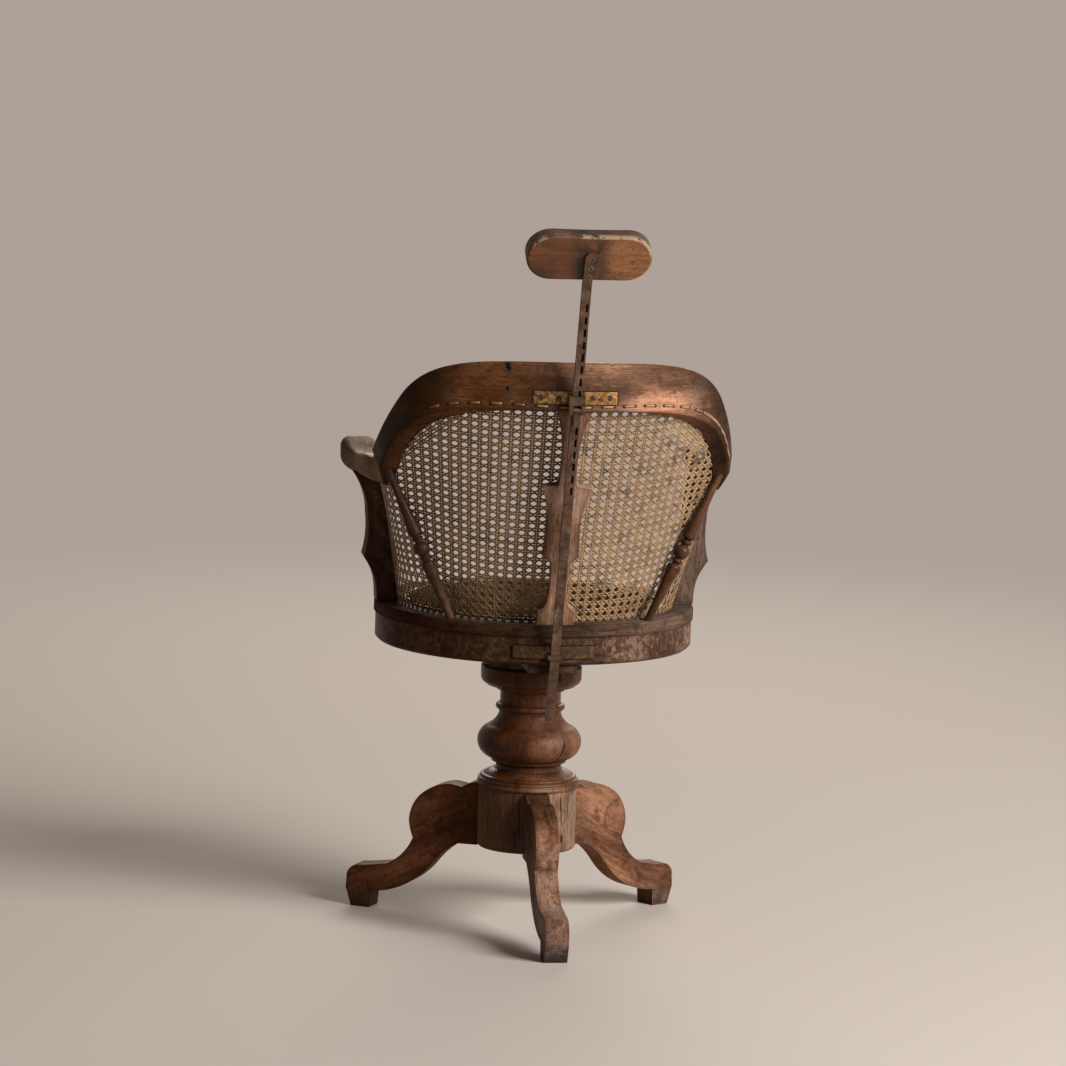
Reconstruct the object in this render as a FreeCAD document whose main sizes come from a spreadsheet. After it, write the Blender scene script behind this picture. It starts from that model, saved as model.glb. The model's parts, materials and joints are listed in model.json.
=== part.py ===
import FreeCAD, Part
import math
import os
import re

import Sketcher

Vector = FreeCAD.Vector
Placement = FreeCAD.Placement
Rotation = FreeCAD.Rotation

# Driving dimensions, in millimetres and degrees.
# The frame stands on the floor at the column's axis, +Z up, the chair's front towards -Y.
SIZES = {
    # the seat stands swivelled a little on the base
    "base_turn": 2.4,
    # turned column
    "hub_radius": 73.5,
    "hub_bottom": 118.0,
    "hub_height": 93.0,
    "base_bead": 6.5,
    "waist_radius": 49.0,
    "waist_height": 241.0,
    "bulb_radius": 78.0,
    "bulb_height": 278.0,
    "neck_radius": 45.5,
    "bead_height": 331.0,
    "cap_radius": 75.5,
    "cap_bottom": 359.0,
    "cap_top": 394.0,
    "turned_edge": 2.0,
    # legs
    "leg_thickness": 35.0,
    "leg_reach": 283.0,
    "hump_reach": 183.0,
    "hump_top": 203.0,
    "ankle_reach": 235.0,
    "ankle_height": 66.0,
    "foot_length": 31.0,
    "foot_height": 20.0,
    "tongue_root": 15.0,
    "tongue_tip": 20.0,
    "tongue_depth": 16.0,
    "tongue_height": 78.0,
    # swivel
    "swivel_gap": 2.0,
    "journal_radius": 16.0,
    "running_clearance": 0.05,
    "bush_radius": 22.0,
    "bush_length": 120.0,
    "bush_flange_radius": 40.0,
    "bush_flange_thickness": 4.0,
    "footstep_height": 8.0,
    "footstep_gap": 0.2,
    "spindle_flange_radius": 58.0,
    "spindle_flange_thickness": 6.0,
    "flange_screw_circle": 42.0,
    "disc_radius": 75.0,
    "disc_thickness": 22.0,
    # seat
    "bearer_width": 72.0,
    "bearer_thickness": 24.0,
    "bearer_housing": 11.0,
    "bearer_setback": 11.0,
    "ring_lower_radius": 236.0,
    "ring_lower_bore": 192.0,
    "ring_lower_height": 41.5,
    "ring_upper_radius": 238.5,
    "ring_upper_bore": 180.0,
    "ring_upper_height": 17.5,
    "ring_edge": 4.0,
    "seat_cane_radius": 194.0,
    "cane_thickness": 1.8,
    "seat_cane_pitch": 24.0,
    "seat_cane_gap": 15.0,
    # crest rail, heights above the seat
    "rail_radius": 270.0,
    "rail_thickness": 29.0,
    "rail_setback": 98.0,
    "crest_rise": 395.0,
    "rail_height": 70.0,
    "shoulder_y": 230.0,
    "shoulder_drop": 61.0,
    "knee_y": 190.0,
    "knee_drop": 97.0,
    "arm_joint_y": 150.0,
    "joint_top_rise": 244.0,
    "joint_low_rise": 190.0,
    "rail_edge": 5.0,
    "rail_taper": 17.4,
    # arms
    "arm_front_y": 88.0,
    "arm_spread": 288.0,
    "arm_width": 54.0,
    "arm_corner": 9.0,
    "arm_nose": 14.0,
    "arm_planing": 1.0,
    # arm posts
    "post_depth": 44.0,
    "post_back_y": 18.0,
    "post_foot_x": 237.5,
    "post_foot_width": 32.0,
    "post_top_x": 276.0,
    "post_top_width": 46.0,
    "post_cusp_x": 258.5,
    "post_cusp_rise": 66.0,
    "tenon_width": 14.0,
    "tenon_length": 12.0,
    # turned back spindles
    "spindle_foot_x": 145.0,
    "spindle_top_x": 237.0,
    "spindle_y": 177.0,
    "spindle_rise": 204.0,
    "spindle_pin": 15.0,
    "spindle_end_radius": 6.0,
    "spindle_swell_radius": 10.8,
    "spindle_ball_radius": 12.0,
    # back splat
    "splat_thickness": 14.0,
    "splat_foot_y": 226.0,
    "splat_foot_half": 27.0,
    "splat_shoulder_half": 36.5,
    "splat_neck_half": 13.0,
    "splat_tenon": 8.0,
    # caned back
    "back_cane_radius": 207.0,
    "cane_front_y": 4.0,
    "cane_bedding": 6.0,
    "cane_columns": 12.0,
    "cane_rows": 8.0,
    "cane_open_share": 0.6,
    "cane_open_reach": 0.92,
    "cane_border": 0.04,
    # brass plates and screws
    "plate_length": 120.0,
    "plate_height": 18.0,
    "plate_thickness": 3.0,
    "upper_plate_proud": 0.6,
    "upper_plate_rise": 345.0,
    "lower_plate_drop": 31.0,
    "screw_head_radius": 4.2,
    "screw_shank_radius": 2.2,
    "screw_length": 16.0,
    "screw_spacing_inner": 24.0,
    "screw_spacing_outer": 50.0,
    # headrest bar and its keepers
    "bar_width": 13.5,
    "bar_thickness": 6.0,
    "bar_clearance": 0.4,
    "bar_tail": 100.0,
    "bar_rise": 594.0,
    "slot_count": 16.0,
    "slot_pitch": 19.0,
    "slot_length": 12.0,
    "slot_width": 3.4,
    "slot_offset": 2.6,
    "slots_below": 6.0,
    "keeper_width": 23.0,
    "keeper_height": 13.0,
    "keeper_wall": 3.0,
    "ear_drop": 12.0,
    "strap_width": 21.0,
    "strap_height": 6.0,
    "strap_wall": 2.0,
    # catch
    "catch_pin_radius": 1.6,
    "catch_knuckle": 3.2,
    "catch_length": 25.0,
    "catch_width": 11.0,
    "catch_thickness": 3.0,
    "nose_drop": 16.0,
    "nose_width": 2.4,
    "nose_height": 8.0,
    "catch_gap": 0.5,
    # headrest
    "head_lean": 30.0,
    "head_plate_length": 52.0,
    "head_plate_width": 24.0,
    "head_width": 176.0,
    "head_height": 73.0,
    "head_thickness": 23.0,
    "head_start": 4.5,
    "head_corner": 36.0,
    "head_edge": 4.0,
    "head_screw_pitch": 15.0,
    "head_screw_aside": 4.0,
}

doc = FreeCAD.newDocument("barber_chair")
sheet = doc.addObject("Spreadsheet::Sheet", "Sizes")
for row, (alias, value) in enumerate(SIZES.items(), start=1):
    sheet.set(f"A{row}", alias)
    sheet.set(f"B{row}", str(value))
    sheet.setAlias(f"B{row}", alias)
doc.recompute()

# Heights that follow from the pieces stacked below them.
HUB_TOP = "(hub_bottom + hub_height)"
DISC_BOTTOM = "(cap_top + swivel_gap)"
BEARER_BOTTOM = "(cap_top + swivel_gap + disc_thickness)"
RING_BOTTOM = f"({BEARER_BOTTOM} + bearer_thickness - bearer_housing)"
RING_SEAM = f"({RING_BOTTOM} + ring_lower_height)"
SEAT_TOP = f"({RING_SEAM} + ring_upper_height)"
RAIL_LOW = f"({SEAT_TOP} + crest_rise - rail_height)"
ARM_UNDER = f"({SEAT_TOP} + joint_low_rise)"
BORE_BOTTOM = "(cap_top - bush_length)"
RAIL_BACK = "(rail_setback + rail_radius)"

nodes = {}


def bound(words):
    """An expression over the sheet's names, as the document reads it."""
    return re.sub(r"[a-z]\w*", lambda m: f"Sizes.{m.group()}" if m.group() in SIZES else m.group(), words)


def size(words):
    """The value of an expression over the sheet's names."""
    return float(sheet.evalExpression(bound(words)))


def node(label, thing):
    """Register a finished piece under the name of its file."""
    thing.Label = label
    nodes[label] = thing
    return thing


def new_body(name):
    return doc.addObject("PartDesign::Body", name)


def place(thing, x="0", y="0", z="0", axis=(0, 0, 1), angle="0"):
    """Put a piece at a position and turn that follow the sheet."""
    start = Vector(size(x), size(y), size(z))
    thing.Placement = Placement(start, Rotation(Vector(*axis), size(angle)))
    for letter, words in (("x", x), ("y", y), ("z", z)):
        thing.setExpression(f"Placement.Base.{letter}", bound(words))
    thing.setExpression("Placement.Rotation.Angle", bound(angle))
    return thing


def new_sketch(body, role, offset="0"):
    """A sketch on one of the body's own planes, moved along the plane's normal."""
    sketch = body.newObject("Sketcher::SketchObject", body.Name + "_sketch")
    plane = [item for item in body.Origin.OriginFeatures if item.Role == role][0]
    sketch.AttachmentSupport = [(plane, "")]
    sketch.MapMode = "FlatFace"
    sketch.AttachmentOffset = Placement(Vector(0, 0, size(offset)), Rotation())
    sketch.setExpression("AttachmentOffset.Base.z", bound(offset))
    return sketch


def pin_point(sketch, geometry, end, x, y):
    """Hold one end of a line or arc at a place given by the sheet's names."""
    for kind, words in (("DistanceX", x), ("DistanceY", y)):
        rule = sketch.addConstraint(Sketcher.Constraint(kind, -1, 1, geometry, end, size(words)))
        sketch.setExpression(f"Constraints[{rule}]", bound(words))


def outline(sketch, corners):
    """A closed outline through corners (x, y) or (x, y, bulge).

    A bulge is the tangent of a quarter of the turn of the arc to the next corner.
    It is positive where the arc turns anticlockwise.
    """
    corners = [corner if len(corner) == 3 else (*corner, 0) for corner in corners]
    points = [Vector(size(x), size(y), 0) for x, y, bulge in corners]
    ends = []
    for index, (x, y, bulge) in enumerate(corners):
        start = points[index]
        after = (index + 1) % len(corners)
        stop = points[after]
        if bulge == 0:
            geometry = sketch.addGeometry(Part.LineSegment(start, stop))
            ends.append((geometry, 1, 2))
            continue
        chord = stop - start
        middle = (start + stop) * 0.5
        across = Vector(-chord.y, chord.x, 0)
        centre = middle + across * ((1 - bulge * bulge) / (4 * bulge))
        radius = (start - centre).Length
        first, last = (start, stop) if bulge > 0 else (stop, start)
        angles = [math.atan2(point.y - centre.y, point.x - centre.x) for point in (first, last)]
        if angles[1] <= angles[0]:
            angles[1] += 2 * math.pi
        arc = Part.ArcOfCircle(Part.Circle(centre, Vector(0, 0, 1), radius), *angles)
        geometry = sketch.addGeometry(arc)
        ends.append((geometry, 1, 2) if bulge > 0 else (geometry, 2, 1))
        x_after, y_after = corners[after][:2]
        span = f"sqrt((({x_after}) - ({x}))^2 + (({y_after}) - ({y}))^2)"
        share = (1 + bulge * bulge) / (4 * abs(bulge))
        rule = sketch.addConstraint(Sketcher.Constraint("Radius", geometry, radius))
        sketch.setExpression(f"Constraints[{rule}]", bound(f"{span} * {share:.9f}"))
    for index, (geometry, start, stop) in enumerate(ends):
        following = ends[(index + 1) % len(ends)]
        sketch.addConstraint(Sketcher.Constraint("Coincident", geometry, stop, following[0], following[1]))
        pin_point(sketch, geometry, start, corners[index][0], corners[index][1])
    return sketch


def rounded(sketch, left, right, low, high, corner, lean="0"):
    """A rectangle with round corners, whose right side may lean in towards its foot."""
    corner = f"({corner})"
    lean = f"({lean})"
    height = f"(({high}) - ({low}))"
    slope = f"sqrt({lean}^2 + {height}^2)"
    across = f"({corner} * {lean} / {slope})"
    upward = f"({corner} * {height} / {slope})"
    tilt = math.atan2(size(lean), size(height))
    quarter = math.tan(math.pi / 8)
    return outline(sketch, [
        (f"{left} + {corner}", low),
        (f"{right} - {lean} - {corner}", low, math.tan((math.pi / 2 - tilt) / 4)),
        (f"{right} - {lean} + {across}", f"{low} + {upward}"),
        (f"{right} - {across}", f"{high} - {upward}", math.tan((math.pi / 2 + tilt) / 4)),
        (f"{right} - {corner}", high),
        (f"{left} + {corner}", high, quarter),
        (left, f"{high} - {corner}"),
        (left, f"{low} + {corner}", quarter),
    ])


def turned(name, corners):
    """A piece turned about the vertical axis, from its half outline (radius, height)."""
    body = new_body(name)
    profile = outline(new_sketch(body, "XZ_Plane"), corners)
    turn = body.newObject("PartDesign::Revolution", name + "_turn")
    turn.Profile = profile
    turn.ReferenceAxis = (profile, ["V_Axis"])
    turn.Angle = 360
    return body


def padded(body, sketch, length, symmetric=False, reverse=False):
    """Thicken a sketch of the body."""
    pad = body.newObject("PartDesign::Pad", body.Name + "_pad")
    pad.Profile = sketch
    pad.setExpression("Length", bound(length))
    pad.SideType = "Symmetric" if symmetric else "One side"
    pad.Reversed = reverse
    return pad


def pocketed(body, sketch, length, symmetric=False, reverse=False):
    """Cut a sketch of the body away."""
    pocket = body.newObject("PartDesign::Pocket", body.Name + "_pocket")
    pocket.Profile = sketch
    pocket.setExpression("Length", bound(length))
    pocket.SideType = "Symmetric" if symmetric else "One side"
    pocket.Reversed = reverse
    return pocket


def softened(base, radius, chosen):
    """Round the edges of a piece that a test picks."""
    doc.recompute()
    fillet = doc.addObject("Part::Fillet", base.Name + "_soft")
    fillet.Base = base
    fillet.Edges = [(index, size(radius), size(radius))
                    for index, edge in enumerate(base.Shape.Edges, start=1) if chosen(edge)]
    return fillet


def cut(base, *tools):
    """The base without the tools."""
    for tool in tools:
        whole = doc.addObject("Part::Cut", base.Name + "_cut")
        whole.Base = base
        whole.Tool = tool
        base = whole
    return base


def mirrored(label, source):
    """The same piece for the sitter's right."""
    other = doc.addObject("Part::Mirroring", label)
    other.Source = source
    other.Normal = Vector(1, 0, 0)
    return node(label, other)


def cylinder(name, radius, height):
    drum = doc.addObject("Part::Cylinder", name)
    drum.setExpression("Radius", bound(radius))
    drum.setExpression("Height", bound(height))
    return drum


def block(name, x, y, z):
    """A box between pairs of expressions."""
    solid = doc.addObject("Part::Box", name)
    for side, (low, high) in (("Length", x), ("Width", y), ("Height", z)):
        solid.setExpression(side, bound(f"({high}) - ({low})"))
    return place(solid, x[0], y[0], z[0])


def screws(name, places, length, head_radius="screw_head_radius"):
    """Countersunk screws, each at a point of its head's face, driven along a direction."""
    head = size(head_radius)
    shank = size("screw_shank_radius")
    depth = head - shank
    solids = []
    for point, direction in places:
        cone = Part.makeCone(head, shank, depth, point, direction)
        stem = Part.makeCylinder(shank, size(length) - depth, point + direction * depth, direction)
        solids.append(cone.fuse(stem).removeSplitter())
    group = doc.addObject("Part::Feature", name)
    group.Shape = Part.makeCompound(solids)
    return group


def make_column():
    body = turned("column", [
        ("0", "hub_bottom"),
        ("hub_radius - turned_edge", "hub_bottom"),
        ("hub_radius", "hub_bottom + turned_edge"),
        ("hub_radius", HUB_TOP),
        ("hub_radius + 2", HUB_TOP, 0.5),
        ("hub_radius + 2", f"{HUB_TOP} + base_bead"),
        ("hub_radius + 1", f"{HUB_TOP} + base_bead + 1.5", 0.5),
        ("hub_radius + 1", f"{HUB_TOP} + base_bead + 5.5"),
        ("hub_radius - 2", f"{HUB_TOP} + base_bead + 6.5", 0.5),
        ("hub_radius - 3", f"{HUB_TOP} + base_bead + 10.5"),
        ("hub_radius - 6", f"{HUB_TOP} + base_bead + 11", 0.12),
        ("waist_radius + 3", "waist_height - 5"),
        ("waist_radius", "waist_height - 3"),
        ("waist_radius", "waist_height + 2", -0.3),
        ("waist_radius + 7", "waist_height + 7"),
        ("waist_radius + 7", "waist_height + 11", 0.349),
        ("bulb_radius", "bulb_height", 0.281),
        ("bulb_radius - 14", "bulb_height + 23", -0.215),
        ("neck_radius + 0.8", "bulb_height + 43"),
        ("neck_radius + 2", "bead_height - 5", 0.95),
        ("neck_radius + 2", "bead_height + 4.5"),
        ("neck_radius", "bead_height + 6"),
        ("neck_radius", "cap_bottom - 8", -0.35),
        ("neck_radius + 6", "cap_bottom - 2"),
        ("neck_radius + 6", "cap_bottom"),
        ("cap_radius - 9", "cap_bottom + 4.5"),
        ("cap_radius - 9", "cap_bottom + 6", 0.35),
        ("cap_radius", "cap_bottom + 16"),
        ("cap_radius", "cap_top - turned_edge"),
        ("cap_radius - turned_edge", "cap_top"),
        ("bush_flange_radius", "cap_top"),
        ("bush_flange_radius", "cap_top - bush_flange_thickness"),
        ("bush_radius", "cap_top - bush_flange_thickness"),
        ("bush_radius", f"{BORE_BOTTOM} - footstep_height"),
        ("0", f"{BORE_BOTTOM} - footstep_height"),
    ])
    slot = new_sketch(body, "XY_Plane", "hub_bottom")
    outline(slot, dovetail("hub_radius + 5"))
    mortise = pocketed(body, slot, "tongue_height", reverse=True)
    ring = body.newObject("PartDesign::PolarPattern", "mortises")
    ring.Originals = [mortise]
    ring.Axis = (slot, ["N_Axis"])
    ring.Angle = 360
    ring.Occurrences = 3
    body.Tip = ring
    place(body, angle="90 + base_turn")
    return node("pedestal_column", body)


def dovetail(outer):
    """Plan of a leg's dovetail tongue, out to a given distance from the axis."""
    inner = "hub_radius - tongue_depth"
    return [
        (inner, "-tongue_tip / 2"),
        ("hub_radius", "-tongue_root / 2"),
        (outer, "-tongue_root / 2"),
        (outer, "tongue_root / 2"),
        ("hub_radius", "tongue_root / 2"),
        (inner, "tongue_tip / 2"),
    ]


def make_leg(label, turn):
    """A sawn leg with a humped knee, drawn along +X and turned to its place round the hub."""
    body = new_body(label)
    side = outline(new_sketch(body, "XZ_Plane"), [
        ("hub_radius - 6", "hub_bottom - 4"),
        ("hub_radius + 30", "hub_bottom - 5", -0.11),
        ("hump_reach - 37", "ankle_height + 10", 0.22),
        ("leg_reach - foot_length - 10", "foot_height + 6"),
        ("leg_reach - foot_length - 8", "0"),
        ("leg_reach - 9", "0"),
        ("leg_reach", "foot_height + 8"),
        ("leg_reach - 1", "ankle_height - 18", 0.4),
        ("leg_reach - 22", "ankle_height - 2"),
        ("ankle_reach + 4", "ankle_height + 1"),
        ("ankle_reach - 18", "ankle_height + 5", -0.19),
        ("hump_reach - 7", "hump_top - 88", 0.08),
        ("hump_reach", "hump_top - 62", 0.2),
        ("hump_reach - 18", "hump_top - 20", 0.15),
        ("hump_reach - 62", "hump_top", 0.05),
        ("hub_radius + 26", "hump_top - 3", 0.12),
        ("hub_radius + 1", f"{HUB_TOP} - 1"),
        ("hub_radius - 6", f"{HUB_TOP} - 1"),
    ])
    padded(body, side, "leg_thickness", symmetric=True)
    bevel = body.newObject("PartDesign::Groove", label + "_scribe")
    drum = outline(new_sketch(body, "XZ_Plane"), [
        ("0", "0"),
        ("hub_radius", "0"),
        ("hub_radius", f"{HUB_TOP} + base_bead"),
        ("0", f"{HUB_TOP} + base_bead"),
    ])
    bevel.Profile = drum
    bevel.ReferenceAxis = (drum, ["V_Axis"])
    bevel.Angle = 360
    tongue = outline(new_sketch(body, "XY_Plane", "hub_bottom"), dovetail("hub_radius + 5"))
    padded(body, tongue, "tongue_height")
    place(body, angle=f"{turn} + base_turn")
    return node(label, body)


def make_swivel():
    bore = "journal_radius + running_clearance"
    node("column_bush", turned("bush", [
        (bore, BORE_BOTTOM),
        ("bush_radius", BORE_BOTTOM),
        ("bush_radius", "cap_top - bush_flange_thickness"),
        ("bush_flange_radius", "cap_top - bush_flange_thickness"),
        ("bush_flange_radius", "cap_top"),
        (bore, "cap_top"),
    ]))
    step = cylinder("footstep", "bush_radius", "footstep_height")
    node("spindle_footstep", place(step, z=f"{BORE_BOTTOM} - footstep_height"))
    spindle = turned("spindle", [
        ("0", f"{BORE_BOTTOM} + footstep_gap"),
        ("journal_radius - 2", f"{BORE_BOTTOM} + footstep_gap"),
        ("journal_radius", f"{BORE_BOTTOM} + footstep_gap + 2"),
        ("journal_radius", DISC_BOTTOM),
        ("spindle_flange_radius", DISC_BOTTOM),
        ("spindle_flange_radius", f"{DISC_BOTTOM} + spindle_flange_thickness"),
        ("0", f"{DISC_BOTTOM} + spindle_flange_thickness"),
    ])
    disc = turned("disc", [
        ("0", f"{DISC_BOTTOM} + spindle_flange_thickness"),
        ("spindle_flange_radius", f"{DISC_BOTTOM} + spindle_flange_thickness"),
        ("spindle_flange_radius", DISC_BOTTOM),
        ("disc_radius - turned_edge", DISC_BOTTOM),
        ("disc_radius", f"{DISC_BOTTOM} + turned_edge"),
        ("disc_radius", BEARER_BOTTOM),
        ("0", BEARER_BOTTOM),
    ])
    circle = size("flange_screw_circle")
    places = []
    for quarter in range(4):
        angle = math.pi / 4 + quarter * math.pi / 2
        point = Vector(circle * math.cos(angle), circle * math.sin(angle), size(DISC_BOTTOM))
        places.append((point, Vector(0, 0, 1)))
    held = node("spindle_flange_screws", screws("flange_screws", places, "screw_length"))
    node("swivel_spindle", cut(spindle, held))
    node("swivel_disc", cut(disc, held))


def make_seat(spindles, posts, splat, plate_screws):
    end = "(ring_lower_radius - bearer_setback)"
    bearer = block("bearer", ("-bearer_width / 2", "bearer_width / 2"), (f"-{end}", end),
                   (BEARER_BOTTOM, f"{BEARER_BOTTOM} + bearer_thickness"))
    middle = (size("ring_lower_radius") + size("ring_lower_bore")) / 2 - size("bearer_housing")
    side = size("bearer_width") / 4
    places = [(Vector(x, y, size(BEARER_BOTTOM)), Vector(0, 0, 1))
              for x in (-side, side) for y in (-middle, middle)]
    held = node("bearer_screws", screws("long_screws", places, "bearer_thickness + screw_length - 4"))
    lower = turned("ring_lower", [
        ("ring_lower_bore", RING_BOTTOM),
        ("ring_lower_radius - ring_edge", RING_BOTTOM),
        ("ring_lower_radius", f"{RING_BOTTOM} + ring_edge"),
        ("ring_lower_radius", RING_SEAM),
        ("ring_lower_bore", RING_SEAM),
    ])
    upper = turned("ring_upper", [
        ("ring_upper_bore", RING_SEAM),
        ("ring_upper_radius", RING_SEAM),
        ("ring_upper_radius", f"{SEAT_TOP} - ring_edge", 0.4),
        ("ring_upper_radius - ring_edge", SEAT_TOP),
        ("ring_upper_bore + ring_edge", SEAT_TOP, 0.4),
        ("ring_upper_bore", f"{SEAT_TOP} - ring_edge"),
    ])
    node("seat_ring_lower", cut(lower, bearer, held, plate_screws))
    node("seat_ring_upper", cut(upper, *spindles, *posts, splat))
    node("seat_bearer", cut(bearer, held))


def make_seat_cane():
    """The caned seat panel: a disc of even square gaps, each turned on its corner."""
    radius = size("seat_cane_radius")
    pitch = size("seat_cane_pitch")
    reach = size("seat_cane_gap") / 2
    edge = size("ring_upper_bore") - reach
    holes = []
    count = int(edge // (pitch / 2)) + 1
    for row in range(-count, count + 1):
        for column in range(-count, count + 1):
            x = column * pitch / 2
            y = row * pitch / 2
            if (row + column) % 2 or math.hypot(x, y) > edge:
                continue
            corners = [Vector(x + reach, y, 0), Vector(x, y + reach, 0), Vector(x - reach, y, 0), Vector(x, y - reach, 0)]
            holes.append(Part.makePolygon(corners + corners[:1]))
    rim = Part.Wire(Part.makeCircle(radius))
    face = Part.makeFace([rim] + holes, "Part::FaceMakerBullseye")
    panel = doc.addObject("Part::Feature", "seat_panel")
    panel.Shape = face.extrude(Vector(0, 0, size("cane_thickness")))
    panel.Placement = Placement(Vector(0, 0, size(SEAT_TOP)), Rotation())
    return node("seat_cane", panel)


def make_splat():
    """The sawn splat, drawn upright and leaned back from the seat to the rail."""
    body = new_body("splat")
    top = f"((crest_rise - rail_height) / cos({SPLAT_RAKE}) + splat_tenon)"
    right = [
        ("splat_foot_half", "-tenon_length / 2"),
        ("splat_foot_half", "26", -0.35),
        ("splat_foot_half - 12", "46", -0.1),
        ("splat_neck_half", "78"),
        ("splat_neck_half + 1", "99", -0.3),
        ("splat_foot_half", "115"),
        ("splat_foot_half - 2.5", "142", -0.12),
        ("splat_shoulder_half", "228"),
        ("splat_neck_half + 4", "231", -0.4),
        ("splat_neck_half", "240", -0.12),
        ("splat_foot_half", top),
    ]
    left = []
    for index in range(len(right) - 1, -1, -1):
        x, y = right[index][:2]
        before = right[index - 1] if index else ("0", "0")
        bulge = before[2] if len(before) == 3 else 0
        left.append((f"-({x})", y, bulge))
    front = outline(new_sketch(body, "XZ_Plane"), right + left)
    padded(body, front, "splat_thickness", symmetric=True)
    place(body, y="splat_foot_y", z=SEAT_TOP, axis=(1, 0, 0), angle=f"-({SPLAT_RAKE})")
    return node("back_splat", body)


# The splat leans from its foot on the seat to the middle of the rail's thickness.
SPLAT_RAKE = f"(atan(({RAIL_BACK} - rail_thickness / 2 - splat_foot_y) / (crest_rise - rail_height)))"
SPINDLE_LEAN = "(atan((spindle_top_x - spindle_foot_x) / spindle_rise))"


def make_back_spindle(label):
    """A turned spindle with a ball between two swells, leaning out to the rail."""
    length = f"(spindle_rise / cos({SPINDLE_LEAN}))"
    ball_half = 10
    ball = (size("spindle_ball_radius") - size("spindle_end_radius")) / ball_half
    body = turned(label, [
        ("0", "-spindle_pin"),
        ("spindle_end_radius", "-spindle_pin"),
        ("spindle_end_radius", "4", -0.03),
        ("spindle_swell_radius", f"{length} / 2 - 25"),
        ("spindle_swell_radius - 1", f"{length} / 2 - 22"),
        ("spindle_end_radius", f"{length} / 2 - 20"),
        ("spindle_end_radius", f"{length} / 2 - 18", 0.8),
        ("spindle_end_radius", f"{length} / 2 - 12"),
        ("spindle_end_radius", f"{length} / 2 - {ball_half}", ball),
        ("spindle_end_radius", f"{length} / 2 + {ball_half}"),
        ("spindle_end_radius", f"{length} / 2 + 12", 0.8),
        ("spindle_end_radius", f"{length} / 2 + 18"),
        ("spindle_end_radius", f"{length} / 2 + 20"),
        ("spindle_swell_radius - 1", f"{length} / 2 + 22"),
        ("spindle_swell_radius", f"{length} / 2 + 25", -0.03),
        ("spindle_end_radius", f"{length} - 4"),
        ("spindle_end_radius", f"{length} + spindle_pin"),
        ("0", f"{length} + spindle_pin"),
    ])
    place(body, "spindle_foot_x", "spindle_y", SEAT_TOP, (0, 1, 0), SPINDLE_LEAN)
    return node(label, body)


def make_post(label):
    """A sawn arm post with a cusp on its outer edge and a tenon in the seat ring."""
    body = new_body(label)
    top = "joint_low_rise"
    front = [
        ("post_foot_x - post_foot_width", "0"),
        ("post_foot_x", "0"),
        ("post_foot_x + 1", "16", -0.14),
        ("post_cusp_x - 7", "post_cusp_rise - 11"),
        ("post_cusp_x", "post_cusp_rise", -0.1),
        ("post_cusp_x - 4", f"{top} - 62", -0.16),
        ("post_top_x", top),
        ("post_top_x - post_top_width", top),
    ]
    padded(body, outline(new_sketch(body, "XZ_Plane"), front), "post_depth", reverse=True)
    foot = "(post_foot_x - post_foot_width / 2)"
    head = "(post_top_x - post_top_width / 2)"
    for middle, level, downwards in ((foot, "0", True), (head, top, False)):
        tenon = outline(new_sketch(body, "XY_Plane", level), [
            (f"{middle} - tenon_width / 2", "post_depth / 2 - tenon_width / 2"),
            (f"{middle} + tenon_width / 2", "post_depth / 2 - tenon_width / 2"),
            (f"{middle} + tenon_width / 2", "post_depth / 2 + tenon_width / 2"),
            (f"{middle} - tenon_width / 2", "post_depth / 2 + tenon_width / 2"),
        ])
        padded(body, tenon, "tenon_length", reverse=downwards)
    place(body, y="post_back_y - post_depth", z=SEAT_TOP)
    return node(label, body)


def rail_side(name, corners):
    """A region of the chair's side view, carried right across it."""
    body = new_body(name)
    sketch = outline(new_sketch(body, "YZ_Plane"), corners)
    padded(body, sketch, "3 * rail_radius", symmetric=True)
    return body


# The rail's lower edge in side view, from the back to the arm joint.
RAIL_UNDERSIDE = [
    (f"{RAIL_BACK} + 5", RAIL_LOW),
    (RAIL_BACK, RAIL_LOW, 0.2577),
    ("knee_y", f"{RAIL_LOW} - knee_drop", -0.1317),
    ("arm_joint_y", ARM_UNDER),
]


JOINT_OUT = "sqrt(rail_radius^2 - (arm_joint_y - rail_setback)^2)"
JOINT_IN = "sqrt((rail_radius - rail_thickness)^2 - (arm_joint_y - rail_setback)^2)"


def rail_tapers():
    """Two wedges that thin the rail's ends towards their lower edges, to meet the arms."""
    body = new_body("rail_wedge")
    depth = "(joint_top_rise - joint_low_rise)"
    wedge = outline(new_sketch(body, "XZ_Plane"), [
        (f"{JOINT_OUT} - 2 * rail_taper", f"{ARM_UNDER} - {depth}"),
        (f"{JOINT_OUT} + 2 * rail_taper", f"{ARM_UNDER} - {depth}"),
        (f"{JOINT_OUT} + 2 * rail_taper", f"{ARM_UNDER} + 3 * {depth}"),
    ])
    padded(body, wedge, f"2 * {RAIL_BACK}", symmetric=True)
    other = doc.addObject("Part::Mirroring", "rail_wedge_right")
    other.Source = body
    other.Normal = Vector(1, 0, 0)
    return body, other


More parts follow.
